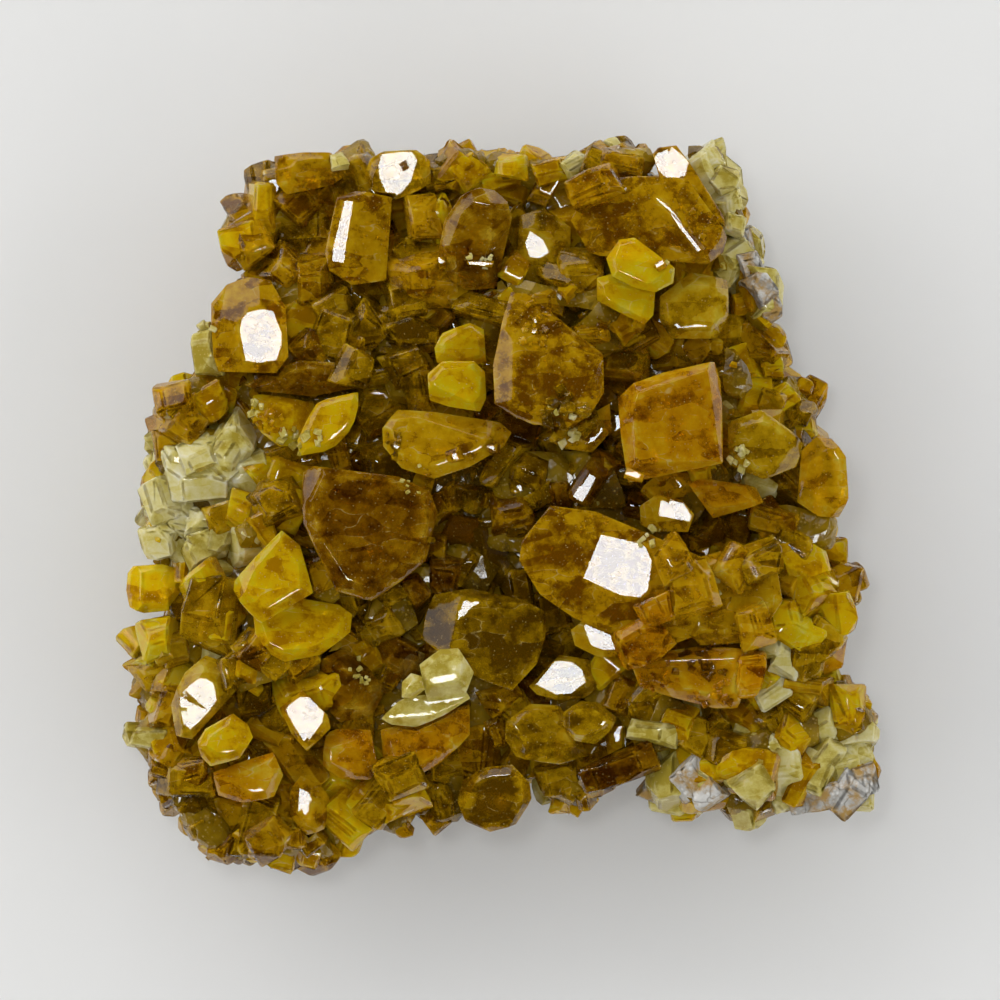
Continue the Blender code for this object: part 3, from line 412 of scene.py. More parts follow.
def weathered(bm):
    """Gives the faces their slight growth unevenness, all but the mirror faces."""
    spots = rough_spots_near(bm)
    for v in bm.verts:
        if v.tag:
            continue
        p = v.co / MM
        swell = 0.03 * noise.noise(p * 0.7) + 0.016 * noise.noise(p * 2.1)
        v.co += v.normal * (swell * roughness_at(p.x, p.y, spots) * MM)


def refined(bm, length, lowest=0.0, highest=50.0):
    """Splits every edge that is over the length and reaches between the two levels, until none is."""
    bmesh.ops.triangulate(bm, faces=bm.faces)
    bottom, top = lowest * MM, highest * MM
    for _ in range(8):
        long = [
            e for e in bm.edges
            if max(v.co.z for v in e.verts) > bottom and min(v.co.z for v in e.verts) < top
            and e.calc_length() > length * MM
        ]
        if not long:
            break
        bmesh.ops.subdivide_edges(bm, edges=long, cuts=1)
        bmesh.ops.triangulate(bm, faces=bm.faces)


def dressed(name):
    """A large crystal with extra faces, softly broken edges, its painted edge glow and its tone."""
    bm = whole_faces(name)
    chipped(bm, CHIPS, CHIP_DEPTH_BY_MIRROR if name in MIRRORS else CHIP_DEPTH)
    for outline, slopes in MIRRORS.get(name, ()):
        mirrored(bm, name, outline, slopes)
    if name in TOPS:
        spot, depth, lean = TOPS[name]
        x, y = at(*spot)
        top = hit((x, y, RAY_HEIGHT), DOWN, name)[0][2]
        sliced(bm, (x, y, top - depth), (*lean, 1.0))
    bmesh.ops.dissolve_degenerate(bm, dist=SMALLEST_EDGE * MM, edges=bm.edges)
    sharp = [e for e in bm.edges if e.is_manifold and e.calc_face_angle(0) > EDGE_ANGLE]
    # Points along the sharp edges, from which the painted edge glow fades inwards
    marks = []
    for edge in sharp:
        a, b = edge.verts[0].co, edge.verts[1].co
        count = max(2, int((b - a).length / (GLOW_MARK_STEP * MM)))
        marks.extend(a.lerp(b, k / count) for k in range(count + 1))
    near = KDTree(len(marks))
    for number, mark in enumerate(marks):
        near.insert(mark, number)
    near.balance()
    width = rng.uniform(*EDGE_WIDTHS)
    bmesh.ops.bevel(bm, geom=sharp, offset=width * MM, segments=2, profile=0.6,
                    affect="EDGES", clamp_overlap=True)
    refined(bm, FACET_LENGTH, FACETS_ABOVE)
    bmesh.ops.recalc_face_normals(bm, faces=bm.faces)
    mirror = Vector(MIRROR)
    for face in bm.faces:
        face.smooth = True
        face.tag = face.normal.dot(mirror) > 1 - MIRROR_SPREAD
        if face.tag:
            for v in face.verts:
                v.tag = True
    weathered(bm)
    for edge in bm.edges:
        sides = [f.tag for f in edge.link_faces]
        edge.smooth = all(sides) or not any(sides) and edge.calc_face_angle(0) < SMOOTH_ANGLE
    mesh = bpy.data.meshes.new(name + "_dressed")
    bm.to_mesh(mesh)
    bm.free()
    # Painted edge glow: one at the sharp edges, fading towards the middle of each face
    painted_edge_glows = [math.exp(-near.find(v.co)[2] / (PAINTED_GLOW_REACH * MM)) for v in mesh.vertices]
    shade = rng.random()
    give_numbers(mesh, painted_edge_glows, [shade + tone_and_painted_shade_at(v.co.x / MM, v.co.y / MM) for v in mesh.vertices])
    return mesh


def tone_and_painted_shade_at(x, y):
    """How much lighter or darker than usual the crystals are at a point, in millimetres: mostly their own
    tone, and painted shade in the middle recess.
    """
    change = 0.0
    for px, py, radius, amount in TONE_AND_PAINTED_SHADE_SPOTS:
        cx, cy = at(px, py)
        away = math.hypot(x - cx, y - cy) / (radius * PLAN_UNIT)
        if away < 1:
            change += amount * (1 - away * away)
    return change


def smoothed(mesh):
    mesh.polygons.foreach_set("use_smooth", [True] * len(mesh.polygons))
    mesh.set_sharp_from_angle(angle=SMOOTH_ANGLE)


def scooped(p, size, depth):
    """The height at a point of a surface broken into scoops of about that size, with ridges between them."""
    return depth * (noise.voronoi(p / size)[0][0] - 0.45)


def uneven(name, length, coarse, fine, raised=0.0, scoop=0.0, highest=50.0):
    """A rough copy of a CAD solid: the sizes are how far it swells, is raised, and is broken into scoops."""
    bm = whole_faces(name)
    refined(bm, length, 0.1, highest)
    bmesh.ops.recalc_face_normals(bm, faces=bm.faces)
    bm.normal_update()
    for v in bm.verts:
        p = v.co / MM
        if p.z < 0.3:
            continue
        swell = raised * max(0.0, v.normal.z) + coarse * noise.noise(p * 0.35)
        swell += fine * (noise.noise(p * 1.3) + 0.5 * noise.noise(p * 3.1))
        if scoop:
            swell += scooped(p, 3.6, scoop) + scooped(p, 1.4, 0.35 * scoop)
        v.co += v.normal * (swell * MM)
        v.co.z = max(v.co.z, 0.0)
    mesh = bpy.data.meshes.new(name + "_uneven")
    bm.to_mesh(mesh)
    bm.free()
    return mesh


def give_numbers(mesh, painted_edge_glows, tones):
    for name, values in (("painted_edge_glow", painted_edge_glows), ("tone", tones)):
        mesh.attributes.new(name, "FLOAT", "POINT").data.foreach_set("value", np.array(values, np.float32))


TRIPLES = {count: np.array(list(combinations(range(count), 3))) for count in range(8, 13)}


def convex(normals, offsets):
    """The corners and the faces of the solid behind all of the planes."""
    triples = TRIPLES[len(normals)]
    stack = normals[triples]
    good = abs(np.linalg.det(stack)) > 1e-4
    corners = np.linalg.solve(stack[good], offsets[triples][good][:, :, None])[:, :, 0]
    corners = corners[(corners @ normals.T <= offsets + 1e-6).all(axis=1)]
    corners = np.unique(np.round(corners, 5), axis=0)
    faces = []
    for normal, offset in zip(normals, offsets):
        on = np.where(abs(corners @ normal - offset) < 1e-4)[0]
        if len(on) < 3:
            continue
        side = np.cross(normal, (0.0, 0.0, 1.0) if abs(normal[2]) < 0.9 else (1.0, 0.0, 0.0))
        away = corners[on] - corners[on].mean(axis=0)
        order = np.argsort(np.arctan2(away @ np.cross(normal, side), away @ side))
        faces.append(on[order])
    return corners, faces


def turn_to(axis, spin):
    """A rotation whose third column is the axis, spun about it."""
    axis = np.array(axis, float)
    axis /= np.linalg.norm(axis)
    side = np.cross((0.0, 1.0, 0.0) if abs(axis[1]) < 0.9 else (1.0, 0.0, 0.0), axis)
    side /= np.linalg.norm(side)
    other = np.cross(axis, side)
    c, t = math.cos(spin), math.sin(spin)
    return np.stack([side * c + other * t, other * c - side * t, axis], axis=1)


class Heap:
    """Many small crystals gathered into one mesh."""

    def __init__(self):
        self.points = []
        self.faces = []
        self.painted_edge_glows = []
        self.tones = []

    def crystal(self, middle, halves, axis, spin, soft=0.2, bevels=6):
        """A block of those half sizes, its third side along the axis, with some edges and corners cut."""
        turn = turn_to(axis, spin)
        halves = np.array(halves, float)
        normals = []
        offsets = []
        for side in range(3):
            for way in (-1, 1):
                unit = np.array([rng.gauss(0, 0.13) for _ in range(3)])
                unit[side] = way
                if side == 2 and way == 1:
                    unit[:2] = 0
                normals.append(unit / np.linalg.norm(unit))
                offsets.append(halves[side] * rng.uniform(0.88, 1.08))
        for _ in range(bevels):
            unit = np.array([rng.choice((-1, 1)) * rng.uniform(0.6, 1.2) for _ in range(3)]) / halves
            if rng.random() < 0.6:
                unit[rng.choice((0, 1))] = 0
            unit[2] = abs(unit[2])
            unit /= np.linalg.norm(unit)
            normals.append(unit)
            offsets.append((abs(unit) @ halves) * rng.uniform(0.62, 0.9))
        corners, faces = convex(np.array(normals) @ turn.T, np.array(offsets))
        bm = bmesh.new()
        made = [bm.verts.new(corner + middle) for corner in corners]
        for face in faces:
            bm.faces.new([made[i] for i in face])
        bmesh.ops.remove_doubles(bm, verts=bm.verts, dist=0.1 * halves.min())
        bmesh.ops.recalc_face_normals(bm, faces=bm.faces)
        bmesh.ops.bevel(bm, geom=bm.edges[:], offset=soft * halves.min(), segments=1,
                        affect="EDGES", clamp_overlap=True)
        bmesh.ops.recalc_face_normals(bm, faces=bm.faces)
        outer = set(bm.verts)
        wide = [f for f in bm.faces if f.calc_area() > 0.1 * halves.min() ** 2]
        bmesh.ops.inset_individual(bm, faces=wide, thickness=min(0.45, 0.3 * halves.min()))
        bmesh.ops.triangulate(bm, faces=bm.faces)
        bm.verts.index_update()
        start = len(self.points)
        self.points.extend(v.co[:] for v in bm.verts)
        self.faces.extend([start + v.index for v in f.verts] for f in bm.faces)
        # Painted edge glow: bright at the outer corners, dim on the inset middles of the faces
        self.painted_edge_glows.extend(0.75 if v in outer else 0.08 for v in bm.verts)
        self.tones.extend([rng.uniform(0.2, 0.8) + tone_and_painted_shade_at(middle[0], middle[1])] * len(bm.verts))
        bm.free()

    def mesh(self, name):
        made = bpy.data.meshes.new(name)
        points = np.array(self.points) * MM
        points[:, 2] = np.maximum(points[:, 2], 0.0)
        made.from_pydata(points.tolist(), [], self.faces)
        made.update()
        give_numbers(made, self.painted_edge_glows, self.tones)
        smoothed(made)
        return made


# Ray tests against the CAD solids
def surface_tree(names):
    points = []
    polygons = []
    owners = []
    for name in names:
        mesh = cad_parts[name].data
        start = len(points)
        points.extend(v.co.copy() / MM for v in mesh.vertices)
        for polygon in mesh.polygons:
            polygons.append([start + i for i in polygon.vertices])
            owners.append(name)
    return BVHTree.FromPolygons(points, polygons), owners


TREES = {name: surface_tree([name]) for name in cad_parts}
TREES["all"] = surface_tree(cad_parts)


def hit(start, direction, among="all"):
    """(point, outward normal, node name) of the first CAD surface along a ray, or None."""
    tree, owners = TREES[among]
    point, normal, index, _ = tree.ray_cast(Vector(start), Vector(direction))
    if point is None:
        return None
    if normal.dot(Vector(direction)) > 0:
        normal = -normal
    return np.array(point), np.array(normal), owners[index]


MIRROR = np.array([-GLINT[0], GLINT[1], 1.0]) / math.sqrt(1 + GLINT[0] ** 2 + GLINT[1] ** 2)
MIRROR_SPREAD = 1e-5
MIRROR_DEPTH = 0.04

# Mirror faces: each outline clockwise in the plan, then the slopes of the faces that fall away from its sides
MIRRORS = {
    "hero_prism": [
        (((602, 531), (645, 545), (652, 560), (648, 590), (640, 597), (620, 595), (583, 578)),
         (0.3, 0.25, 0.18, 0.25, 0.3, 0.3, 0.2)),
    ],
    "left_white_face_crystal": [
        (((243, 312), (262, 308), (280, 311), (283, 340), (277, 360), (258, 363), (241, 360), (239, 330)),
         (0.3, 0.3, 0.16, 0.2, 0.3, 0.3, 0.16, 0.2)),
    ],
    "white_pitted_face_crystal": [
        (((376, 153), (395, 150), (413, 151), (418, 159), (411, 181), (398, 197), (388, 196), (379, 176)),
         (0.2, 0.2, 0.3, 0.2, 0.2, 0.3, 0.2, 0.2)),
    ],
    "upper_left_prism": [(((344, 199), (354, 200), (344, 263), (329, 261)), (0.3, 0.2, 0.3, 0.3))],
    "teardrop_face_crystal": [
        (((530, 230), (545, 240), (550, 252), (540, 258), (530, 257), (525, 243)),
         (0.16, 0.2, 0.25, 0.3, 0.2, 0.16)),
    ],
    "corner_white_face_crystal": [
        (((655, 150), (672, 146), (690, 160), (686, 176), (668, 178), (653, 165)),
         (0.25, 0.2, 0.3, 0.2, 0.2, 0.3)),
    ],
    "banded_twin": [
        (((662, 497), (690, 503), (693, 513), (690, 521), (658, 515)), (0.3, 0.25, 0.3, 0.12, 0.3)),
    ],
    "grey_irregular_face_crystal": [
        (((556, 660), (572, 662), (586, 672), (588, 685), (575, 694), (556, 695), (536, 685)),
         (0.2, 0.2, 0.3, 0.3, 0.2, 0.2, 0.16)),
    ],
    "crescent_crystal": [
        (((200, 676), (213, 682), (217, 700), (206, 716), (190, 730), (180, 722), (178, 700), (188, 682)),
         (0.25, 0.3, 0.16, 0.14, 0.3, 0.3, 0.2, 0.2)),
    ],
    "white_irregular_crystal": [
        (((290, 697), (305, 693), (325, 710), (323, 722), (305, 745), (299, 735), (284, 715)),
         (0.25, 0.2, 0.3, 0.16, 0.3, 0.16, 0.2)),
    ],
    "strip_crystal": [
        (((300, 778), (315, 780), (310, 815), (305, 823), (297, 815)), (0.3, 0.14, 0.2, 0.3, 0.14)),
    ],
}

# Tops cut to another lean: a plan point, how far below the top, and the lean
TOPS = {
    "grey_faced_olive_crystal": ((500, 628), 0.6, (0.06, -0.06)),
    "hexagonal_crystal": ((497, 795), 0.4, (-0.02, -0.08)),
}

# Where the crystals are rough: a plan point, a radius in plan units, and how many times rougher
ROUGH_SPOTS = [
    (715, 600, 85, 3.5), (690, 670, 65, 3.5), (570, 420, 45, 4.0), (530, 320, 35, 3.0), (365, 670, 30, 3.0),
    (410, 650, 40, 2.0), (760, 440, 40, 2.0), (440, 440, 60, 2.0), (270, 420, 30, 3.0), (560, 540, 30, 1.3),
]

# Where the crystals are lighter or darker, mostly in their own tone, at (478, 530) by painted shade in the
# middle recess: a plan point, a radius in plan units, and the change in tone
TONE_AND_PAINTED_SHADE_SPOTS = [
    (545, 565, 60, -0.35), (705, 595, 80, 0.4), (645, 265, 45, 0.6), (695, 305, 45, 0.8),
    (370, 240, 50, 0.7), (510, 630, 55, -0.6), (345, 760, 60, 0.7), (495, 797, 45, -0.9),
    (175, 665, 75, 0.9), (810, 660, 100, 0.6), (200, 505, 90, 0.7), (465, 385, 40, 0.4),
    # (478, 530) is painted shade that darkens the deep recess in the middle
    (478, 530, 55, -1.0), (760, 430, 45, 0.5), (475, 230, 40, 0.5),
]

# Large crystals
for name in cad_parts:
    if name in ("host_rock", "small_crystal_crust"):
        continue
    tint = TINT_OF.get(name, "amber")
    new_piece("piece_" + name, dressed(name), MATERIALS[tint], SLOTS[tint], name)

# Crust and rock
crust_mesh = uneven("small_crystal_crust", 1.0, 0.3, 0.16, 0.6)
new_piece("rough_crust", crust_mesh, crust_material(), "crust_crystal", "small_crystal_crust")
ROCK_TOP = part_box("host_rock")[1][2] / MM - 0.05
rock_mesh = uneven("host_rock", 0.6, 0.3, 0.2, scoop=1.1, highest=ROCK_TOP)
new_piece("broken_rock", rock_mesh, rock_material(), "host_rock", "host_rock")

# Small crystals
heaps = {tint: Heap() for tint in (*TINTS, "stone")}
MATERIALS["stone"] = rock_material()
SLOTS["stone"] = "host_rock"


def standing(x, y, wide, deep, lean, spin, tint, tall=0.8, sink=0.45, soft=0.2):
    """One crystal on whatever lies below a plan point, with its width, depth and the lean of its top."""
    px, py = at(x, y)
    found = hit((px, py, RAY_HEIGHT), DOWN)
    if found is None:
        return
    half = np.array([wide, deep, tall * min(wide, deep)]) / 2
    middle = found[0] + np.array([0, 0, half[2] * (1 - 2 * sink)])
    heaps[tint].crystal(middle, half, (lean[0], lean[1], 1.0), math.radians(spin), soft)


# The middle-sized crystals that stand out one by one: plan point, width and depth, lean, spin and colour
PLACED = [
    (338, 160, 1.8, 1.6, (0.2, 0.3), 20, "pale"), (355, 168, 2.0, 1.6, (-0.1, 0.4), 50, "pale"),
    (307, 194, 4.6, 2.2, (0.1, -0.3), 8, "pale"), (400, 205, 1.1, 3.0, (0.3, 0.1), 5, "pale"),
    (403, 236, 1.0, 1.8, (0.2, -0.2), 15, "pale"), (424, 217, 3.4, 4.6, (0.15, 0.2), 5, "amber"),
    (595, 188, 4.8, 3.4, (-0.25, 0.15), 25, "amber"), (622, 162, 4.8, 2.6, (0.1, 0.5), -12, "amber"),
    (575, 165, 3.0, 2.4, (0.3, 0.3), 30, "pale"), (548, 170, 3.0, 2.6, (0.1, 0.4), 15, "yellow"),
    (510, 165, 3.4, 2.6, (-0.2, 0.3), 5, "yellow"), (470, 170, 3.8, 3.0, (0.3, 0.2), 40, "yellow"),
    (440, 175, 3.0, 3.2, (0.1, 0.3), 20, "amber"), (708, 158, 2.8, 2.4, (0.2, 0.2), 30, "pale"),
    (722, 178, 2.8, 2.8, (0.3, 0.0), 60, "pale"), (730, 202, 2.6, 2.4, (0.3, -0.2), 15, "pale"),
    (736, 222, 2.0, 2.2, (0.4, 0.1), 75, "pale"), (730, 250, 2.6, 3.0, (0.3, 0.2), 20, "pale"),
    (738, 277, 2.8, 2.8, (0.3, -0.1), 45, "pale"), (745, 303, 2.6, 2.4, (0.2, 0.2), 10, "yellow"),
    (750, 325, 3.0, 2.8, (0.1, -0.2), 35, "yellow"), (772, 362, 2.2, 2.8, (0.3, 0.2), 5, "yellow"),
    (803, 420, 2.8, 4.0, (0.4, 0.0), 10, "yellow"), (785, 395, 2.6, 2.6, (0.2, 0.3), 40, "yellow"),
    (726, 370, 3.8, 4.4, (-0.17, 0.08), 20, "olive"), (690, 345, 3.4, 2.6, (0.2, 0.3), 15, "olive"),
    (640, 335, 3.6, 3.0, (-0.1, -0.3), 30, "olive"), (204, 352, 2.4, 4.4, (-0.4, 0.1), 10, "pale"),
    (250, 240, 4.0, 4.4, (-0.2, 0.3), 25, "amber"), (290, 228, 3.6, 4.0, (0.3, 0.2), 60, "olive"),
    (305, 262, 4.0, 3.4, (0.1, -0.3), 15, "olive"), (262, 275, 3.6, 3.4, (-0.3, -0.1), 40, "yellow"),
    (232, 262, 3.0, 3.4, (-0.3, 0.3), 5, "yellow"), (330, 305, 4.6, 3.8, (0.2, 0.3), 30, "olive"),
    (368, 325, 4.4, 4.4, (-0.2, -0.2), 55, "olive"), (405, 300, 4.0, 4.2, (0.25, 0.2), 10, "olive"),
    (405, 365, 4.4, 3.6, (-0.1, -0.3), 25, "olive"), (352, 368, 3.8, 3.4, (0.3, -0.1), 70, "olive"),
    (445, 330, 3.4, 4.0, (0.2, 0.3), 20, "olive"), (310, 350, 3.4, 3.8, (0.2, -0.2), 45, "amber"),
    (174, 396, 3.8, 3.4, (-0.3, 0.3), 15, "amber"), (186, 424, 4.2, 3.8, (0.1, 0.3), 50, "amber"),
    (208, 402, 3.4, 3.4, (0.2, -0.2), 30, "yellow"), (168, 440, 3.4, 3.8, (-0.3, 0.0), 5, "amber"),
    (196, 455, 4.2, 3.6, (0.2, 0.2), 25, "pale"), (226, 450, 4.4, 4.0, (-0.2, 0.3), 60, "pale"),
    (248, 470, 3.6, 3.2, (0.1, -0.3), 10, "pale"), (176, 478, 3.4, 3.4, (-0.3, 0.2), 35, "pale"),
    (217, 486, 3.8, 1.5, (0.1, 0.3), 6, "yellow"), (160, 500, 3.8, 4.4, (-0.3, 0.1), 20, "pale"),
    (182, 518, 3.8, 4.0, (0.1, -0.2), 50, "pale"), (156, 540, 3.4, 3.6, (-0.3, -0.2), 10, "pale"),
    (200, 548, 3.6, 3.0, (0.2, 0.2), 40, "pale"), (222, 520, 3.6, 3.6, (0.2, 0.1), 15, "olive"),
    (272, 505, 5.0, 4.6, (-0.2, 0.2), 30, "olive"), (323, 574, 2.4, 3.6, (-0.17, 0.05), 12, "amber"),
    (213, 614, 4.6, 6.4, (-0.2, 0.1), -12, "olive"), (185, 600, 3.0, 4.0, (-0.3, 0.2), 25, "olive"),
    (600, 497, 1.0, 1.0, (0.2, 0.2), 30, "pale"), (608, 493, 0.9, 1.1, (-0.3, 0.2), 70, "pale"),
    (350, 800, 4.0, 3.6, (0.2, -0.3), 20, "yellow"), (377, 805, 4.0, 4.4, (0.1, -0.3), 50, "olive"),
    (240, 815, 4.4, 4.2, (-0.2, -0.3), 15, "amber"), (268, 836, 4.8, 4.0, (0.1, -0.4), 35, "amber"),
    (288, 808, 3.4, 4.4, (0.2, 0.1), 60, "amber"), (192, 775, 3.6, 3.8, (-0.4, 0.1), 10, "amber"),
    (206, 802, 4.0, 3.6, (-0.3, -0.3), 40, "amber"), (170, 745, 3.6, 3.6, (-0.3, 0.1), 20, "yellow"),
    (400, 775, 4.2, 4.0, (0.2, -0.2), 25, "olive"), (425, 797, 4.4, 3.6, (-0.1, -0.4), 55, "olive"),
    (446, 768, 3.4, 3.8, (0.2, 0.2), 10, "olive"), (618, 768, 8.0, 3.0, (0.1, -0.3), 22, "dark"),
    (560, 780, 4.0, 3.2, (0.2, -0.3), 15, "olive"), (640, 640, 4.4, 4.0, (0.1, -0.2), 30, "orange"),
    (700, 645, 4.6, 3.0, (0.1, 0.3), 10, "orange"), (755, 625, 3.4, 4.6, (0.3, -0.1), 20, "amber"),
    (748, 675, 3.0, 4.4, (0.3, -0.2), 5, "orange"), (655, 610, 4.0, 3.0, (-0.2, -0.3), 25, "orange"),
    (404, 165, 0.7, 0.8, (0.0, 0.0), 20, "dark"), (672, 783, 3.6, 3.0, (0.1, -0.2), 10, "stone"),
    (692, 778, 4.0, 3.6, (0.1, -0.3), 35, "stone"), (708, 792, 3.0, 2.8, (-0.2, -0.3), 40, "stone"),
    (655, 790, 2.6, 2.2, (-0.1, -0.3), 60, "stone"), (824, 797, 4.4, 3.0, (0.1, -0.3), 15, "stone"),
    (850, 792, 4.0, 3.4, (0.2, -0.3), 60, "stone"), (806, 803, 3.0, 2.2, (0.0, -0.3), 5, "stone"),
    (866, 780, 2.6, 3.2, (0.4, -0.2), 15, "stone"), (744, 246, 2.2, 3.0, (0.3, 0.1), 20, "stone"),
    (752, 266, 2.4, 3.0, (0.3, 0.0), 15, "stone"), (762, 286, 2.8, 3.2, (0.3, 0.1), 30, "stone"),
    (770, 306, 2.6, 3.0, (0.3, -0.1), 20, "stone"), (775, 326, 2.0, 2.6, (0.3, 0.1), 10, "stone"),
    (728, 172, 2.0, 2.6, (0.3, 0.2), 40, "stone"), (692, 588, 4.6, 5.4, (0.12, 0.1), 12, "amber"),
    (672, 560, 3.4, 4.0, (0.1, 0.25), 30, "amber"), (735, 565, 4.2, 4.0, (0.2, 0.2), 50, "amber"),
    (670, 765, 3.6, 3.4, (0.1, -0.3), 20, "pale"), (700, 775, 3.4, 3.6, (-0.2, -0.2), 55, "pale"),
    (725, 790, 3.4, 3.0, (0.2, -0.3), 10, "pale"), (755, 785, 3.8, 3.6, (-0.1, -0.3), 40, "pale"),
    (785, 795, 3.4, 3.2, (0.2, -0.2), 25, "pale"), (815, 775, 3.8, 3.8, (0.1, 0.2), 65, "pale"),
    (842, 768, 3.4, 3.6, (0.3, -0.1), 15, "pale"), (858, 755, 3.0, 3.4, (0.4, 0.1), 35, "pale"),
    (820, 745, 3.8, 3.4, (-0.2, 0.2), 5, "yellow"), (790, 740, 4.0, 3.8, (0.2, 0.1), 50, "yellow"),
    (775, 640, 3.8, 3.6, (-0.2, 0.2), 20, "pale"), (790, 662, 3.4, 3.4, (0.2, -0.1), 60, "pale"),
    (772, 690, 3.8, 3.4, (-0.1, 0.2), 35, "pale"), (785, 615, 3.6, 3.4, (0.1, 0.3), 10, "yellow"),
    (810, 590, 4.0, 4.0, (0.2, 0.1), 30, "yellow"), (838, 610, 3.4, 4.2, (0.4, -0.1), 10, "yellow"),
    (820, 640, 4.0, 3.6, (0.3, 0.2), 45, "olive"), (825, 690, 4.2, 4.2, (0.2, -0.1), 20, "yellow"),
    (850, 705, 3.4, 4.0, (0.4, 0.1), 5, "yellow"), (800, 700, 3.6, 3.8, (-0.1, 0.2), 55, "olive"),
    (760, 560, 4.4, 4.0, (0.2, 0.2), 25, "olive"), (795, 545, 4.0, 4.2, (0.1, 0.3), 60, "olive"),
    (830, 560, 3.6, 3.6, (0.3, 0.1), 10, "yellow"), (770, 520, 3.0, 3.4, (-0.2, 0.3), 35, "orange"),
    (155, 640, 3.6, 4.0, (-0.3, 0.2), 15, "yellow"), (150, 672, 3.4, 4.0, (-0.4, 0.1), 40, "olive"),
    (235, 670, 3.6, 3.4, (0.2, 0.2), 20, "olive"), (255, 650, 3.8, 3.6, (-0.2, 0.3), 55, "amber"),
    (255, 700, 3.4, 3.8, (0.2, -0.2), 10, "olive"), (300, 660, 4.0, 3.4, (0.1, 0.3), 30, "amber"),
]
for spot in PLACED:
    standing(*spot)

# Clusters of tiny crystals and rough patches: plan point, radius, how many, smallest and largest, and colour
CLUSTERS = [
    (568, 415, 26, 34, 0.5, 1.1, "olive"), (560, 425, 22, 14, 0.4, 0.8, "pale"),
    (534, 322, 24, 34, 0.3, 0.7, "amber"), (268, 425, 16, 22, 0.4, 0.9, "yellow"),
    (250, 410, 14, 12, 0.4, 0.8, "pale"), (366, 668, 18, 20, 0.3, 0.7, "pale"),
    (300, 440, 22, 14, 0.4, 0.9, "pale"), (650, 540, 14, 12, 0.3, 0.7, "pale"),
    (695, 575, 30, 16, 0.4, 0.8, "pale"), (738, 455, 14, 10, 0.4, 0.8, "pale"),
    (480, 262, 14, 8, 0.3, 0.5, "pale"), (392, 445, 16, 14, 0.4, 0.7, "olive"),
    (655, 672, 24, 14, 0.3, 0.7, "orange"), (700, 660, 28, 20, 0.3, 0.8, "dark"),
    (715, 690, 20, 14, 0.4, 0.9, "orange"), (665, 268, 10, 6, 0.3, 0.6, "pale"),
    (700, 225, 16, 8, 0.3, 0.6, "amber"), (455, 540, 26, 22, 0.4, 0.9, "olive"),
    (490, 535, 22, 16, 0.4, 0.9, "dark"), (410, 480, 18, 10, 0.3, 0.7, "pale"),
    (205, 330, 10, 8, 0.5, 1.0, "pale"),
]
for x, y, radius, count, smallest, largest, tint in CLUSTERS:
    for _ in range(count):
        turn, away = rng.uniform(0, 2 * math.pi), radius * math.sqrt(rng.random())
        size = rng.uniform(smallest, largest)
        lean = (rng.gauss(0, 0.3), rng.gauss(0, 0.3))
        spot = (x + away * math.cos(turn), y + away * math.sin(turn))
        standing(*spot, size, size * rng.uniform(0.6, 1.4), lean, rng.uniform(0, 360), tint)

# Small faces that catch the key light: plan point, width and depth in millimetres, spin
GLINTS = [
    (451, 324, 1.3, 1.2, 20), (385, 400, 0.9, 1.9, 10), (455, 455, 1.6, 1.3, 25), (493, 448, 1.0, 1.0, 5),
    (609, 460, 2.3, 0.6, -10), (634, 475, 2.0, 0.9, -20), (679, 485, 1.0, 0.7, 50),
    (660, 266, 1.0, 0.8, 30), (480, 263, 2.8, 0.5, -5), (307, 460, 2.4, 1.1, 12), (784, 503, 1.7, 1.2, -25),
    (725, 565, 1.2, 0.4, -25), (680, 226, 0.45, 6.6, 41), (502, 560, 0.8, 1.8, 10),
    (668, 718, 0.9, 0.9, 40), (442, 262, 0.8, 1.1, 15), (540, 285, 0.9, 0.6, 30),
]
for x, y, wide, deep, spin in GLINTS:
    standing(x, y, wide, deep, MIRROR[:2] / MIRROR[2], spin, "amber", tall=1.0, sink=0.1, soft=0.06)


def family(x, y):
    """Which colour of small crystal grows at a point: pale ones on the left and at two of the corners."""
    share = rng.random()
    if x > 15 and y < -22:
        return "pale" if share < 0.35 else "yellow" if share < 0.75 else "olive"
    if x < -24 and -8 < y < 8:
        return "pale" if share < 0.8 else "yellow"
    if x > 20 and y > 18:
        return "pale" if share < 0.4 else "yellow"
    if math.hypot(x, y) < 20:
        return "olive" if share < 0.6 else "dark" if share < 0.8 else "amber"
    return "amber" if share < 0.4 else "olive" if share < 0.65 else "yellow" if share < 0.97 else "pale"


# Where a crystal's own footprint is tested, in parts of its size, and how low that ground may be
NEIGHBOURS = ((-0.45, 0.0), (0.45, 0.0), (0.0, -0.45), (0.0, 0.45))
LOWEST = 7.0


def scattered(tries, sizes, spacing, sink):
    """Crystals on the crust at random points, no two of them nearer than the spacing times their sizes."""
    placed = []
    for _ in range(tries):
        x, y = rng.uniform(-HALF_WIDTH, HALF_WIDTH), rng.uniform(-HALF_DEPTH, HALF_DEPTH)
        size = rng.uniform(*sizes)
        found = hit((x, y, RAY_HEIGHT), DOWN)
        if found is None or found[2] != "small_crystal_crust":
            continue
        around = [hit((x + dx * size, y + dy * size, RAY_HEIGHT), DOWN) for dx, dy in NEIGHBOURS]
        if None in around or min(spot[0][2] for spot in around) < LOWEST:
            continue
        if any(math.hypot(x - a, y - b) < spacing * (size + s) / 2 for a, b, s in placed):
            continue
        placed.append((x, y, size))
        point, normal, _ = found
        axis = normal * 0.3 + np.array([rng.gauss(0, 0.22), rng.gauss(0, 0.22), 0.9])
        half = np.array([size * rng.uniform(0.55, 1.1), size * rng.uniform(0.8, 1.5), size]) / 2
        middle = point + np.array([0, 0, half[2] * (1 - 2 * sink)])
        heaps[family(x, y)].crystal(middle, half, axis, rng.uniform(0, 6.3))


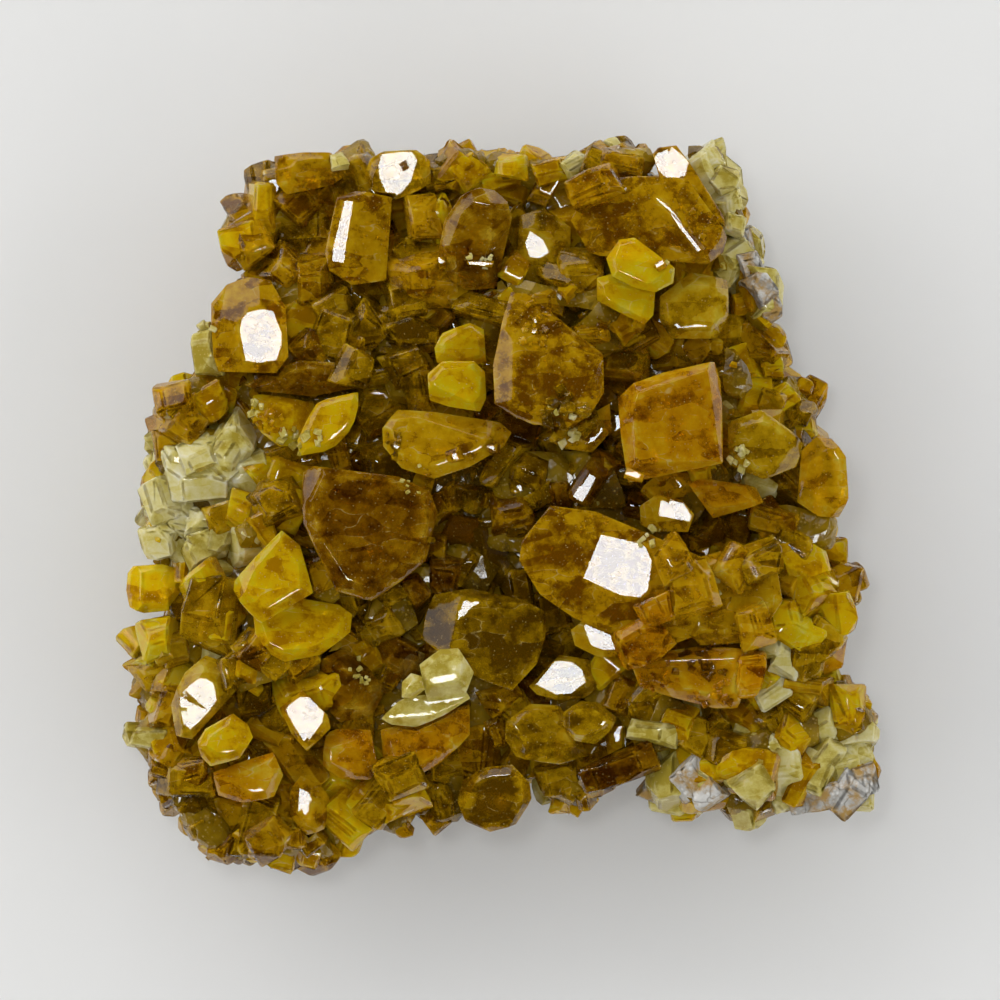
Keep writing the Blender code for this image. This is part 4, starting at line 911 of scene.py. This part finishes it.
def beside(tries, heights, sizes, among, spacing, sink, rise, colour=None):
    """Crystals or chips on the sides, where level rays from all round first meet that node."""
    placed = []
    for _ in range(tries):
        turn = rng.uniform(0, 2 * math.pi)
        aim = turn + math.pi + rng.uniform(-0.35, 0.35)
        size = rng.uniform(*sizes)
        level = rng.uniform(*heights)
        start = (RAY_DISTANCE * math.cos(turn), RAY_DISTANCE * math.sin(turn), max(level, 0.95 * size))
        found = hit(start, (math.cos(aim), math.sin(aim), 0))
        if found is None or found[2] != among:
            continue
        point, normal, _ = found
        if any(np.linalg.norm(point - other) < spacing * (size + s) / 2 for other, s in placed):
            continue
        placed.append((point, size))
        axis = normal + np.array([rng.gauss(0, 0.3), rng.gauss(0, 0.3), rise])
        half = np.array([size * rng.uniform(0.6, 1.1), size * rng.uniform(0.8, 1.4), size]) / 2
        middle = point + normal * half[2] * (1 - 2 * sink)
        heaps[colour or family(point[0], point[1])].crystal(middle, half, axis, rng.uniform(0, 6.3))


scattered(2600, (3.0, 5.4), 0.5, 0.62)
scattered(900, (0.9, 2.0), 0.7, 0.5)
beside(900, (6.0, 13.0), (1.6, 3.4), "small_crystal_crust", 0.6, 0.66, 0.6)
beside(500, (0.8, 7.0), (1.2, 3.2), "host_rock", 0.6, 0.72, 0.2, "stone")
beside(120, (2.5, 7.0), (0.6, 1.4), "host_rock", 1.5, 0.5, 0.5)
for tint, heap in heaps.items():
    if heap.points:
        new_piece("small_" + tint + "_crystals", heap.mesh("small_" + tint), MATERIALS[tint], SLOTS[tint])

# Floor
floor_mesh = bpy.data.meshes.new("floor")
reach = FLOOR_REACH * MM
corners = [(-reach, -reach, 0), (reach, -reach, 0), (reach, reach, 0), (-reach, reach, 0)]
floor_mesh.from_pydata(corners, [], [(0, 1, 2, 3)])
floor = bpy.data.objects.new("floor", floor_mesh)
bpy.context.scene.collection.objects.link(floor)
paper = Shader("pale_paper")
paper.set(Base_Color=paper.mix(paper.noise(40.0), (0.74, 0.74, 0.73), (0.78, 0.78, 0.77)), Roughness=0.9)
floor_mesh.materials.append(paper.material)

# Camera, straight above
scene = bpy.context.scene
lens = bpy.data.cameras.new("camera")
lens.sensor_width = 36.0
lens.lens = 36.0 * (CAMERA_HEIGHT - FIELD_LEVEL) / FIELD
lens.clip_end = 10.0
camera = bpy.data.objects.new("camera", lens)
camera.location = (0.0, 0.0, CAMERA_HEIGHT * MM)
scene.collection.objects.link(camera)
scene.camera = camera


def softbox(name, place, wide, tall, power, colour=(1, 1, 1), glossy=False):
    """A rectangular light facing the middle; one that isn't glossy isn't mirrored in the faces."""
    lamp = bpy.data.lights.new(name, "AREA")
    lamp.shape = "RECTANGLE"
    lamp.size = wide * MM
    lamp.size_y = tall * MM
    lamp.energy = power
    lamp.color = colour
    obj = bpy.data.objects.new(name, lamp)
    obj.location = np.array(place) * MM
    obj.rotation_euler = (-Vector(obj.location)).to_track_quat("-Z", "Y").to_euler()
    obj.visible_glossy = glossy
    scene.collection.objects.link(obj)


towards = 2 * MIRROR[2] * MIRROR - np.array([0.0, 0.0, 1.0])
softbox("key_softbox", towards * SOFTBOX_DISTANCE, SOFTBOX_SIDE, SOFTBOX_SIDE, 0.95, (0.94, 0.97, 1.0),
        glossy=True)
softbox("sheen_softbox", (-800, 850, 600), FILL_WIDE, FILL_TALL, 5.0, glossy=True)
softbox("left_softbox", (-1150, 250, 560), FILL_WIDE, FILL_TALL, 10.5, (1.0, 0.98, 0.95))
softbox("right_softbox", (1150, -200, 540), FILL_WIDE, FILL_TALL, 9.0, (0.97, 0.98, 1.0))
softbox("top_softbox", (100, 1150, 580), FILL_WIDE, FILL_TALL, 8.5)
softbox("front_softbox", (0, -1150, 540), FILL_WIDE, FILL_TALL, 4.5)

world = bpy.data.worlds.new("studio")
scene.world = world
world.use_nodes = True
world.node_tree.nodes["Background"].inputs["Color"].default_value = (*[SURROUNDINGS] * 3, 1)
world.cycles_visibility.glossy = False
scene.view_settings.view_transform = "Standard"
scene.cycles.max_bounces = 4
scene.cycles.diffuse_bounces = 2
scene.cycles.glossy_bounces = 3
scene.cycles.transmission_bounces = 4
scene.cycles.adaptive_threshold = 1.0
